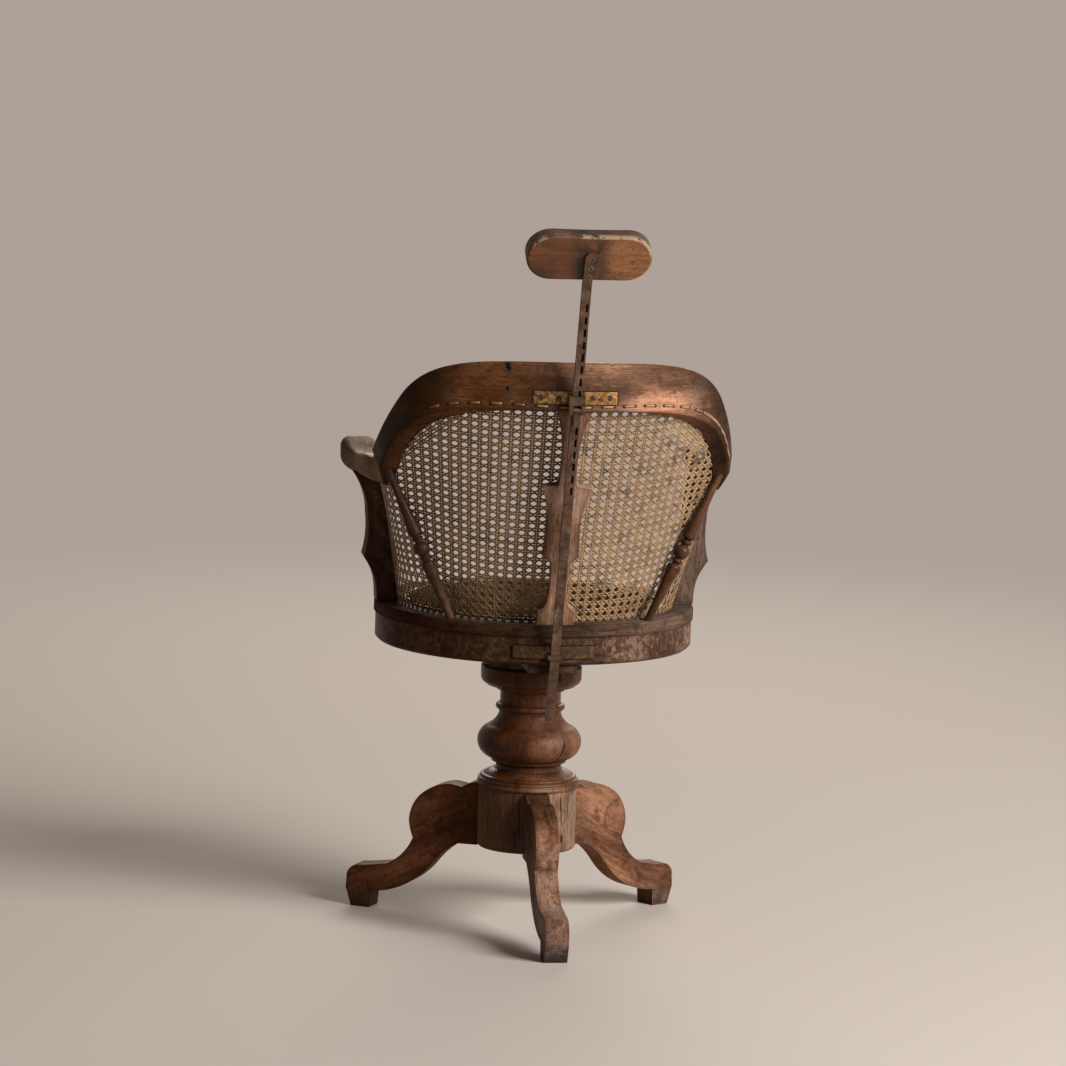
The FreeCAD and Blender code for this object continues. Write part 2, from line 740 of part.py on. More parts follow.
def make_rail(splat, spindles, plate, plate_screws):
    crest = f"({SEAT_TOP} + crest_rise)"
    band = rail_side("rail_band", [
        *RAIL_UNDERSIDE,
        ("arm_joint_y", f"{SEAT_TOP} + joint_top_rise"),
        ("shoulder_y", f"{crest} - shoulder_drop", -0.208),
        (RAIL_BACK, crest),
        (f"{RAIL_BACK} + 5", crest),
    ])
    outer = place(cylinder("rail_outer", "rail_radius", f"{crest} + 10"), y="rail_setback")
    inner = place(cylinder("rail_inner", "rail_radius - rail_thickness", f"{crest} + 20"), y="rail_setback")
    bow = doc.addObject("Part::Common", "rail_bow")
    bow.Base = cut(outer, inner)
    bow.Tool = band
    soft = softened(cut(bow, *rail_tapers()), "rail_edge", lambda edge: edge.BoundBox.YLength > 2)
    return node("crest_rail", cut(soft, splat, *spindles, plate, plate_screws))


def make_arm(label, post):
    """An arm that runs forward from the rail and flares out and up at its end."""
    body = new_body(label)
    under = "joint_low_rise"
    planed = f"{under} - arm_planing"
    inside = "arm_spread - arm_width"
    full = "(joint_top_rise - joint_low_rise)"
    sections = [
        ("-arm_joint_y", JOINT_IN, JOINT_OUT, planed, full, "rail_edge - 1", "rail_taper"),
        ("-arm_joint_y + 60", f"{inside} + 3", "arm_spread - 19", planed, "36", "arm_corner - 2", "rail_taper / 2"),
        ("-arm_joint_y + 125", f"{inside} + 1", "arm_spread - 12", planed, "31", "arm_corner", "rail_taper / 5"),
        ("arm_front_y - 48", inside, "arm_spread - 3", planed, "36", "arm_corner", "1"),
        ("arm_front_y - 10", f"{inside} + 2", "arm_spread", f"{under} + 6", "44", "arm_nose", "1"),
        ("arm_front_y", f"{inside} + 11", "arm_spread - 8", f"{under} + 12", "40", "arm_nose - 2", "1"),
    ]
    sketches = []
    for forward, left, right, low, rise, corner, lean in sections:
        sketch = new_sketch(body, "XZ_Plane", forward)
        sketches.append(rounded(sketch, left, right, low, f"{under} + {rise}", corner, lean))
    loft = body.newObject("PartDesign::AdditiveLoft", label + "_loft")
    loft.Profile = sketches[0]
    loft.Sections = sketches[1:]
    place(body, z=SEAT_TOP)
    waste = block(label + "_waste", ("0", "2 * arm_spread"), ("-arm_joint_y", "arm_joint_y"),
                  (f"{ARM_UNDER} - arm_width", ARM_UNDER))
    return node(label, cut(body, waste, post))


def underside(y):
    """Height of the rail's lower edge, or of the arm's, at a distance behind the axis."""
    low = size(RAIL_LOW)
    if y <= size("arm_joint_y"):
        return size(ARM_UNDER)
    if y <= size("knee_y"):
        share = (y - size("arm_joint_y")) / (size("knee_y") - size("arm_joint_y"))
        return size(ARM_UNDER) + share * (low - size("knee_drop") - size(ARM_UNDER))
    share = (y - size("knee_y")) / (size(RAIL_BACK) - size("knee_y"))
    return low - size("knee_drop") * (1 - math.sin(share * math.pi / 2) ** 0.8)


def make_back_cane(solids):
    """The caned back: straight rulings from the seat ring up to the underside of rail and arms."""
    radius = size("back_cane_radius")
    front = -size("cane_front_y")
    bow = size("rail_radius") - size("rail_thickness") + size("cane_bedding")
    setback = size("rail_setback")
    seat = size(SEAT_TOP)
    top = size(RAIL_LOW) + size("rail_height")
    quarter = bow * math.pi / 2
    run = setback - front
    widest = math.pi / 2 + math.asin(-front / radius)
    arm_inside = size("post_top_x - post_top_width + 2")

    def ruling(share, inset):
        """Foot and head of a ruling, at a share of the way from the middle to a post."""
        side = -1 if share < 0 else 1
        angle = abs(share) * widest
        foot = Vector((radius - inset) * math.sin(angle), (radius - inset) * math.cos(angle), seat)
        along = abs(share) * (quarter + run)
        if along < quarter:
            turn = along / bow
            head = Vector((bow - inset) * math.sin(turn), setback + (bow - inset) * math.cos(turn), 0)
        else:
            part = (along - quarter) / run
            head = Vector(bow - inset - part * (bow - arm_inside), setback - part * run, 0)
        head.z = underside(head.y)
        return Vector(side * foot.x, foot.y, foot.z), Vector(side * head.x, head.y, head.z)

    def tub(inset, overrun):
        """A solid filled from the panel's face forward to its front edge, and up past the rail."""
        count = 12
        feet = []
        heads = []
        for step in range(-count, count + 1):
            foot, head = ruling(step / count, inset)
            feet.append(foot)
            heads.append(foot + (head - foot) * ((top - seat) / (head.z - seat)))
        wires = []
        for points in (feet, heads):
            curve = Part.BSplineCurve()
            curve.interpolate(points, Parameters=[float(step) for step in range(len(points))])
            last = points[-1] - Vector(0, overrun, 0)
            first = points[0] - Vector(0, overrun, 0)
            edges = [curve.toShape()]
            if overrun:
                edges.append(Part.makeLine(points[-1], last))
            edges.append(Part.makeLine(last, first))
            if overrun:
                edges.append(Part.makeLine(first, points[0]))
            wires.append(Part.Wire(edges))
        return Part.makeLoft(wires, True, True)

    def opening(column, row):
        """A straight cutter for one gap of the open weave."""
        spare = (1 - size("cane_open_share")) / 2
        border = size("cane_border")
        corners = []
        for across, up in ((spare, spare), (1 - spare, spare), (1 - spare, 1 - spare), (spare, 1 - spare)):
            share = ((column + across) * 2 / columns - 1) * size("cane_open_reach")
            foot, head = ruling(share, thickness / 2)
            corners.append(foot + (head - foot) * (border + (row + up) * (1 - 2 * border) / rows))
        middle = (corners[0] + corners[1] + corners[2] + corners[3]) * 0.25
        through = (corners[2] - corners[0]).cross(corners[3] - corners[1]).normalize()
        flat = [corner - through * through.dot(corner - middle) - through * depth for corner in corners]
        return Part.Face(Part.makePolygon(flat + flat[:1])).extrude(through * (2 * depth))

    thickness = size("cane_thickness")
    depth = 4 * thickness
    columns = int(size("cane_columns"))
    rows = int(size("cane_rows"))
    panel = doc.addObject("Part::Feature", "cane_panel")
    panel.Shape = tub(0, 0).cut(tub(thickness, 4))
    gaps = doc.addObject("Part::Feature", "cane_gaps")
    gaps.Shape = Part.makeCompound([opening(column, row) for column in range(columns) for row in range(rows)])
    above = rail_side("cane_trim", [
        (f"{RAIL_BACK} + rail_height", RAIL_LOW),
        *RAIL_UNDERSIDE[1:],
        ("-arm_front_y", ARM_UNDER),
        ("-arm_front_y", f"{SEAT_TOP} + 2 * crest_rise"),
        (f"{RAIL_BACK} + rail_height", f"{SEAT_TOP} + 2 * crest_rise"),
    ])
    return node("back_cane", cut(panel, above, *solids, gaps))


def plate_sector(name, inner, outer, height):
    """A brass strip bent round an upright drum, its middle at the back."""
    ring = cut(cylinder(name + "_out", outer, height), cylinder(name + "_in", inner, height))
    half = "(plate_length / 2)"
    band = block(name + "_band", (f"-{half}", half), ("0", f"2 * {outer}"), ("0", height))
    strip = doc.addObject("Part::Common", name)
    strip.Base = ring
    strip.Tool = band
    return strip


def plate_places(radius, centre_y, height):
    """Head points and directions of the four screws of a bent plate."""
    places = []
    for across in ("-screw_spacing_outer", "-screw_spacing_inner", "screw_spacing_inner", "screw_spacing_outer"):
        angle = size(across) / size(radius)
        outward = Vector(math.sin(angle), math.cos(angle), 0)
        point = Vector(0, size(centre_y), size(height)) + outward * size(radius)
        places.append((point, -outward))
    return places


# The bar lies against the lower plate's foot and the rail's lower edge.
LOWER_PLATE = f"({RING_SEAM} - lower_plate_drop)"
BAR_LOW_Y = "(ring_lower_radius + plate_thickness + bar_clearance)"
BAR_HIGH_Y = f"({RAIL_BACK} + upper_plate_proud + bar_clearance)"
BAR_RAKE = f"(atan(({BAR_HIGH_Y} - {BAR_LOW_Y}) / ({RAIL_LOW} - {LOWER_PLATE})))"


def along_bar(thing, distance, lift="0"):
    """Put a piece drawn upright on the bar's own line, a distance up it and out from its face."""
    y = f"{BAR_LOW_Y} + ({distance}) * sin({BAR_RAKE}) + ({lift}) * cos({BAR_RAKE})"
    z = f"{LOWER_PLATE} + ({distance}) * cos({BAR_RAKE}) - ({lift}) * sin({BAR_RAKE})"
    return place(thing, "0", y, z, (1, 0, 0), f"-{BAR_RAKE}")


UPPER_PLATE = f"({SEAT_TOP} + upper_plate_rise)"
KEEPER_AT = f"(({UPPER_PLATE} - keeper_height / 2 - {LOWER_PLATE}) / cos({BAR_RAKE}))"

# The catch's pin, across the ears below the keeper, and the slot that faces the catch's nose.
PIN_LIFT = "(bar_thickness + bar_clearance + keeper_wall + 2)"
PIN_AT = f"({KEEPER_AT} - ear_drop / 2)"
FIRST_SLOT = f"({PIN_AT} - nose_drop - slot_length / 2 - slots_below * slot_pitch)"


def make_bar():
    """The slotted bar, with its head bent back to lie on the headrest."""
    body = new_body("bar")
    half = "bar_width / 2"
    flat = new_sketch(body, "XZ_Plane")
    outline(flat, [
        (f"-{half}", "-bar_tail", 0.6),
        (half, "-bar_tail"),
        (half, "bar_rise"),
        (f"-{half}", "bar_rise"),
    ])
    padded(body, flat, "bar_thickness", reverse=True)
    slot = new_sketch(body, "XZ_Plane")
    outline(slot, [
        ("-slot_offset - slot_width / 2", FIRST_SLOT),
        ("-slot_offset + slot_width / 2", FIRST_SLOT),
        ("-slot_offset + slot_width / 2", f"{FIRST_SLOT} + slot_length"),
        ("-slot_offset - slot_width / 2", f"{FIRST_SLOT} + slot_length"),
    ])
    notch = pocketed(body, slot, "4 * bar_thickness", symmetric=True)
    row = body.newObject("PartDesign::LinearPattern", "slots")
    row.Originals = [notch]
    row.Direction = (slot, ["V_Axis"])
    row.setExpression("Length", bound("(slot_count - 1) * slot_pitch"))
    row.setExpression("Occurrences", bound("slot_count"))
    body.Tip = row
    return along_bar(body, "0")


def make_bar_head():
    body = new_body("bar_head")
    far = "(head_plate_width - bar_width / 2)"
    face = new_sketch(body, "XZ_Plane")
    outline(face, [
        ("-bar_width / 2", "-4"),
        ("bar_width / 2", "-4"),
        ("bar_width / 2", "head_plate_length - 5", 0.41),
        ("bar_width / 2 - 5", "head_plate_length"),
        (f"-{far} + 5", "head_plate_length", 0.41),
        (f"-{far}", "head_plate_length - 5"),
        (f"-{far} + 1", "head_plate_length - 14", -0.1),
        ("-bar_width / 2", "head_plate_length - 40"),
    ])
    padded(body, face, "bar_thickness", reverse=True)
    return on_head(body)


# The bend of the bar, where its head turns to the lean of the headrest.
BEND_Y = f"({BAR_LOW_Y} + bar_rise * sin({BAR_RAKE}))"
BEND_Z = f"({LOWER_PLATE} + bar_rise * cos({BAR_RAKE}))"


def on_head(thing):
    """Put a piece drawn upright on the headrest's own leaning line, from the bend up."""
    return place(thing, "0", BEND_Y, BEND_Z, (1, 0, 0), "-head_lean")


def make_headrest():
    lean = math.radians(size("head_lean"))
    up = Vector(0, math.sin(lean), math.cos(lean))
    back = Vector(0, math.cos(lean), -math.sin(lean))
    bend = Vector(0, size(BEND_Y), size(BEND_Z))
    places = []
    for step in range(3):
        rise = size("head_plate_length") - 8 - step * size("head_screw_pitch")
        aside = Vector(-size("head_screw_aside") * rise / size("head_plate_length"), 0, 0)
        places.append((bend + aside + up * rise + back * size("bar_thickness"), -back))
    held = node("headrest_screws", screws("head_screws", places, "screw_length + 2"))
    bar = doc.addObject("Part::Fuse", "bar_whole")
    bar.Base = make_bar()
    bar.Tool = make_bar_head()
    node("headrest_bar", cut(bar, held))
    body = new_body("board")
    face = new_sketch(body, "XZ_Plane")
    rounded(face, "-head_width / 2", "head_width / 2", "head_start", "head_start + head_height", "head_corner")
    padded(body, face, "head_thickness")
    dish = new_sketch(body, "XY_Plane", "-head_height")
    outline(dish, [
        ("-head_width / 2 - 10", "-head_thickness", -0.04),
        ("head_width / 2 + 10", "-head_thickness"),
        ("head_width / 2 + 10", "-2 * head_thickness"),
        ("-head_width / 2 - 10", "-2 * head_thickness"),
    ])
    pocketed(body, dish, "3 * head_height", reverse=True)
    on_head(body)
    soft = softened(body, "head_edge", lambda edge: abs(back.dot(edge.CenterOfMass - bend)) < 0.01)
    node("headrest_board", cut(soft, held))


def make_guides():
    """The two brass plates, the keeper, its catch and pin, and the strap."""
    upper = plate_sector("upper_plate", "rail_radius + upper_plate_proud - plate_thickness",
                         "rail_radius + upper_plate_proud", "plate_height")
    place(upper, y="rail_setback", z=f"{UPPER_PLATE} - plate_height / 2")
    lower = plate_sector("lower_plate", "ring_lower_radius", "ring_lower_radius + plate_thickness", "plate_height")
    place(lower, z=LOWER_PLATE)
    high = screws("upper_screws", plate_places("rail_radius + upper_plate_proud", "rail_setback", UPPER_PLATE), "screw_length")
    low = screws("lower_screws", plate_places("ring_lower_radius + plate_thickness", "0",
                                              f"{LOWER_PLATE} + plate_height / 2"), "screw_length")
    node("upper_plate_screws", high)
    node("lower_plate_screws", low)
    node("upper_guide_plate", cut(upper, high))
    node("lower_guide_plate", cut(lower, low))
    return upper, high, low


def make_keepers():
    body = new_body("keeper")
    half = "keeper_width / 2"
    gap = "bar_width / 2 + bar_clearance"
    back = "bar_thickness + bar_clearance"
    plan = new_sketch(body, "XY_Plane")
    outline(plan, [
        (f"-{half}", "-30"),
        (f"-({gap})", "-30"),
        (f"-({gap})", back),
        (gap, back),
        (gap, "-30"),
        (half, "-30"),
        (half, f"{back} + keeper_wall"),
        (f"-{half}", f"{back} + keeper_wall"),
    ])
    padded(body, plan, "keeper_height")
    ears = new_sketch(body, "XY_Plane")
    for side in (-1, 1):
        near = f"{side} * (catch_width / 2 + catch_gap)"
        far = f"{side} * {half}"
        left, right = (near, far) if side > 0 else (far, near)
        outline(ears, [(left, back), (right, back), (right, f"{back} + keeper_wall + 5"), (left, f"{back} + keeper_wall + 5")])
    padded(body, ears, "ear_drop", reverse=True)
    along_bar(body, KEEPER_AT)
    drum = place(cylinder("rail_drum", "rail_radius + upper_plate_proud", f"{SEAT_TOP} + 2 * crest_rise"), y="rail_setback")
    pin = cylinder("pin", "catch_pin_radius", "keeper_width")
    node("catch_pin", lay_across(pin))
    node("bar_keeper", cut(body, drum, pin))

    strap = new_body("strap")
    half = "strap_width / 2"
    plan = new_sketch(strap, "XY_Plane")
    outline(plan, [
        (f"-{half}", "-20"),
        (f"-({gap})", "-20"),
        (f"-({gap})", back),
        (gap, back),
        (gap, "-20"),
        (half, "-20"),
        (half, f"{back} + strap_wall"),
        (f"-{half}", f"{back} + strap_wall"),
    ])
    padded(strap, plan, "strap_height")
    along_bar(strap, "2")
    drum = place(cylinder("ring_drum", "ring_lower_radius + plate_thickness", SEAT_TOP))
    node("bar_strap", cut(strap, drum))


def lay_across(thing):
    """Lay a piece drawn along Z across the chair, through the keeper's ears."""
    y = f"{BAR_LOW_Y} + {PIN_AT} * sin({BAR_RAKE}) + {PIN_LIFT} * cos({BAR_RAKE})"
    z = f"{LOWER_PLATE} + {PIN_AT} * cos({BAR_RAKE}) - {PIN_LIFT} * sin({BAR_RAKE})"
    return place(thing, "-keeper_width / 2", y, z, (0, 1, 0), "90")


def make_catch():
    """A tapered thumb catch hung on the pin, with a nose that drops into the bar's slots."""
    body = new_body("catch")
    knuckle = new_sketch(body, "YZ_Plane")
    knuckle.addGeometry(Part.Circle(Vector(0, 0, 0), Vector(0, 0, 1), size("catch_knuckle")))
    knuckle.addConstraint(Sketcher.Constraint("Coincident", 0, 3, -1, 1))
    rule = knuckle.addConstraint(Sketcher.Constraint("Radius", 0, size("catch_knuckle")))
    knuckle.setExpression(f"Constraints[{rule}]", bound("catch_knuckle"))
    padded(body, knuckle, "catch_width", symmetric=True)
    face = outline(new_sketch(body, "XZ_Plane"), [
        ("-catch_width / 2", "-catch_knuckle"),
        ("-catch_width / 4", "-catch_length", 0.5),
        ("catch_width / 4", "-catch_length"),
        ("catch_width / 2", "-catch_knuckle"),
        ("catch_width / 2", "0"),
        ("-catch_width / 2", "0"),
    ])
    padded(body, face, "catch_thickness", symmetric=True)
    nose = outline(new_sketch(body, "XZ_Plane"), [
        ("-slot_offset - nose_width / 2", "-nose_drop - nose_height / 2"),
        ("-slot_offset + nose_width / 2", "-nose_drop - nose_height / 2"),
        ("-slot_offset + nose_width / 2", "-nose_drop + nose_height / 2"),
        ("-slot_offset - nose_width / 2", "-nose_drop + nose_height / 2"),
    ])
    padded(body, nose, f"{PIN_LIFT} - bar_thickness - catch_gap")
    eye = new_sketch(body, "YZ_Plane")
    eye.addGeometry(Part.Circle(Vector(0, 0, 0), Vector(0, 0, 1), size("catch_pin_radius")))
    eye.addConstraint(Sketcher.Constraint("Coincident", 0, 3, -1, 1))
    rule = eye.addConstraint(Sketcher.Constraint("Radius", 0, size("catch_pin_radius + running_clearance")))
    eye.setExpression(f"Constraints[{rule}]", bound("catch_pin_radius + running_clearance"))
    pocketed(body, eye, "2 * catch_width", symmetric=True)
    along_bar(body, PIN_AT, PIN_LIFT)
    return node("thumb_catch", body)


def export(folder="parts"):
    """Check every object, then write each piece to its own file."""
    for item in doc.Objects:
        if "Invalid" in item.State or "Error" in item.State:
            raise RuntimeError(f"{item.Label}: {item.State}")
    for label, thing in nodes.items():
        if thing.Shape.isNull() or not thing.Shape.isValid():
            raise RuntimeError(f"{label} has no valid shape")
    os.makedirs(folder, exist_ok=True)
    for label, thing in nodes.items():
        thing.Shape.exportStep(f"{folder}/{label}.step")


make_column()
for leg_name, leg_turn in (("leg_back", 90), ("leg_left", -30), ("leg_right", 210)):
    make_leg(leg_name, leg_turn)
make_swivel()
plate, plate_screws_high, plate_screws_low = make_guides()
splat = make_splat()
spindles = [make_back_spindle("back_spindle_left")]
spindles.append(mirrored("back_spindle_right", spindles[0]))
posts = [make_post("arm_post_left")]
posts.append(mirrored("arm_post_right", posts[0]))
make_seat(spindles, posts, splat, plate_screws_low)
make_seat_cane()
rail = make_rail(splat, spindles, plate, plate_screws_high)
arms = [make_arm("arm_left", posts[0])]
arms.append(mirrored("arm_right", arms[0]))
make_back_cane([*posts, *arms])
make_keepers()
make_catch()
make_headrest()
doc.recompute()
export()
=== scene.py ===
"""Looks of an antique swivel barber chair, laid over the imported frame."""

import json
import math

import bpy
from mathutils import Matrix, Vector
from mathutils.bvhtree import BVHTree


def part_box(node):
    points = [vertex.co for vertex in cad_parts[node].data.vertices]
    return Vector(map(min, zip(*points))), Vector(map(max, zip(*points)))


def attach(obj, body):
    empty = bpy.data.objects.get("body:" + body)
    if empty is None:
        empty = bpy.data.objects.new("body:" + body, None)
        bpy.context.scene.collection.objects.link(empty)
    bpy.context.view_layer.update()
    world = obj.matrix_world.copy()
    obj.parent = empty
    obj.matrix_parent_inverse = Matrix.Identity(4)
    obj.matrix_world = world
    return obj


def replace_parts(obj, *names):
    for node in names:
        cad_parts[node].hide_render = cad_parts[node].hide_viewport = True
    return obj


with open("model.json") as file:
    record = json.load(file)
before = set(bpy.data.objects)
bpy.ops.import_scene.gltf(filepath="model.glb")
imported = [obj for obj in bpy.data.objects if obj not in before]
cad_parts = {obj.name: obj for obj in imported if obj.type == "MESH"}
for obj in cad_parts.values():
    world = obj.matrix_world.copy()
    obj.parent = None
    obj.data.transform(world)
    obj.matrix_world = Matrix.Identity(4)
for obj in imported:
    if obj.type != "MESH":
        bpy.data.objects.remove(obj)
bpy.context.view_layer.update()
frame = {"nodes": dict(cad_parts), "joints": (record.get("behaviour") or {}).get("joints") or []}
nodes = frame["nodes"]
scene = bpy.context.scene

# The photograph's camera, fitted to the round seat, the hub and the feet.
PHOTO_PIXELS = 1066
FOCAL_PIXELS = 4738.4
CAMERA_DISTANCE = 7.0
CAMERA_HEIGHT = 1.551
CAMERA_SIDE = 0.00436
CAMERA_TURN = math.radians(7.8)
CAMERA_PITCH = 0.1362
CAMERA_ROLL = 0.0325

# Forms of the model that the woven pieces follow, in metres.
SEAT_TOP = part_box("seat_ring_upper")[1][2]
SEAT_BORE = 0.180
RAIL_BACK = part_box("crest_rail")[1][1]
RAIL_RADIUS = 0.270
RAIL_SETBACK = RAIL_BACK - RAIL_RADIUS
RAIL_LOW = SEAT_TOP + 0.325
ARM_UNDER = SEAT_TOP + 0.190
ARM_JOINT_Y = 0.150
KNEE_Y = 0.190
KNEE_DROP = 0.097
CANE_FOOT_RADIUS = 0.207
CANE_HEAD_RADIUS = 0.247
CANE_FRONT_Y = -0.004
CANE_FRONT_X = 0.232
CANE_THICKNESS = 0.0018
CANE_BEDDING = 0.006

# The six-way weave, read off the photograph.
COLUMN_PITCH_LOW = 0.0131
COLUMN_PITCH_HIGH = 0.0156
COLUMN_PITCH_MEAN = (COLUMN_PITCH_LOW + COLUMN_PITCH_HIGH) / 2
ROW_PITCH = 0.0114
ROW_LIFT_LOW = 0.013
ROW_LIFT_HIGH = 0.003
ROW_LIFT_REACH = 0.170
ROW_LIFT_MOST = 1.5
ROW_LIFT_ROWS = 4
BACK_COLUMNS = (-32, 31)
BACK_ROWS = (-1, 29)
SEAT_CELLS = (-14, 14)
SEAT_CANE_LAP = 0.010
LATTICE_STEP = 0.25
STRAND_WIDTH = 0.0024
STRAND_THICKNESS = 0.0005
STRAND_CROWN = 0.06
PAIR_SPACING = 0.0034
DIAGONAL_WIDTH = 0.0025
DIAGONAL_LIFT = 0.00025
WEAVE_DEPTH = 0.0005
UPRIGHT_SET = WEAVE_DEPTH * 0.7
CROSS_SWAY = WEAVE_DEPTH * 0.5
DIAGONAL_SWAY = WEAVE_DEPTH * 0.8

# Cane laid along the edges of the panels.
BINDER_RADIUS = 0.1905
BINDER_LIFT = 0.0016
BINDER_SHARE = 0.985
BINDER_HALF = (0.0030, 0.0014)

# The crest rail's lower edge as two arcs, each by its centre's Y and Z and its radius.
BACK_ARC = (0.3669, 0.6053, 0.2097)
SIDE_ARC = (0.0991, 0.7736, 0.1066)

# Loops of cane along that edge, the drilled holes they end in, and one long strip, its ends in degrees.
LOOP_LIFT = 0.0062
LOOP_CLIMB = 0.0050
LOOP_CLIMB_ANGLE = 0.6
LOOP_START = 0.013
LOOP_PITCH = 0.0330
LOOP_LENGTH = 0.0170
LOOP_STAND = 0.0016
LOOP_SINK = 0.0004
LOOP_HALF = (0.0016, 0.0008)
LOOPS_END = math.radians(46)
HOLES_END = math.radians(66)
HOLE_RADIUS = 0.0025
HOLE_SIDES = 14
HOLE_MIDDLE = 0.0001
HOLE_BRIM = 0.0003
STRIP_ENDS = (47, 70)
STRIP_HALF = (0.0024, 0.0010)
STRIP_STAND = 0.0004
STRIP_SWAY = 0.0005
STRIP_SWAY_TURN = 1.7

# Lean of the headrest's board: the way up along its face, and the way its back faces.
HEADREST_LEAN = math.radians(30)
HEADREST_UP = Vector((0.0, math.sin(HEADREST_LEAN), math.cos(HEADREST_LEAN)))
HEADREST_BACK = Vector((0.0, math.cos(HEADREST_LEAN), -math.sin(HEADREST_LEAN)))

# The slots across the screw heads: half length and half width, and how each is turned, in radians.
DRIVER_SLOT = (0.0031, 0.00055)
DRIVER_SLOT_STAND = 0.00012
FIRST_SLOT_TURN = 0.7
NEXT_SLOT_TURN = 1.9

# The slots in the headrest's bar.
SLOT_ASIDE = 0.0026
SLOT_WIDTH = 0.0034
SLOT_LENGTH = 0.012
SLOT_FILL_DEPTH = 0.0008

# The surround: its strength and colour where it lights the object, and its colour where it is seen.
AMBIENT = 0.055
AMBIENT_TONE = (0.50, 0.27, 0.12, 1.0)
SURROUND = (0.42, 0.355, 0.315, 1.0)

# The floor: its colour where it is seen and where it lights the object, and where it fades out.
FLOOR_SHOWN = (0.65, 0.61, 0.58, 1.0)
FLOOR_BOUNCE = (0.30, 0.20, 0.12, 1.0)
FLOOR_FADE = (1.2, 4.5)
FLOOR_REACH = 90.0
LAMP_SIZE = 3.0

# The corners of a square, in order.
SQUARE = ((-1, -1), (1, -1), (1, 1), (-1, 1))

# Colours of dirt, wear and age; some stand for dirt and painted shade together.
CORNER_DIRT_AND_SHADE = (0.014, 0.007, 0.004, 1.0)
RECESS_SHADOW_AND_DIRT = (0.012, 0.007, 0.004, 1.0)
BRUISE_HALO = (0.085, 0.070, 0.050, 1.0)
BRUISE_CORE = (0.010, 0.007, 0.005, 1.0)
SPLIT_BLACK = (0.006, 0.004, 0.003, 1.0)
RUST = (0.20, 0.10, 0.055, 1.0)
IRON_DIRT_AND_SHADE = (0.012, 0.008, 0.006, 1.0)
BRASS_TARNISH = (0.045, 0.020, 0.008, 1.0)
BRASS_SPECK = (0.05, 0.028, 0.014, 1.0)
AGED_CANE = (0.23, 0.135, 0.062, 1.0)
CANE_DIRT_AND_SHADE = (0.05, 0.028, 0.013, 1.0)


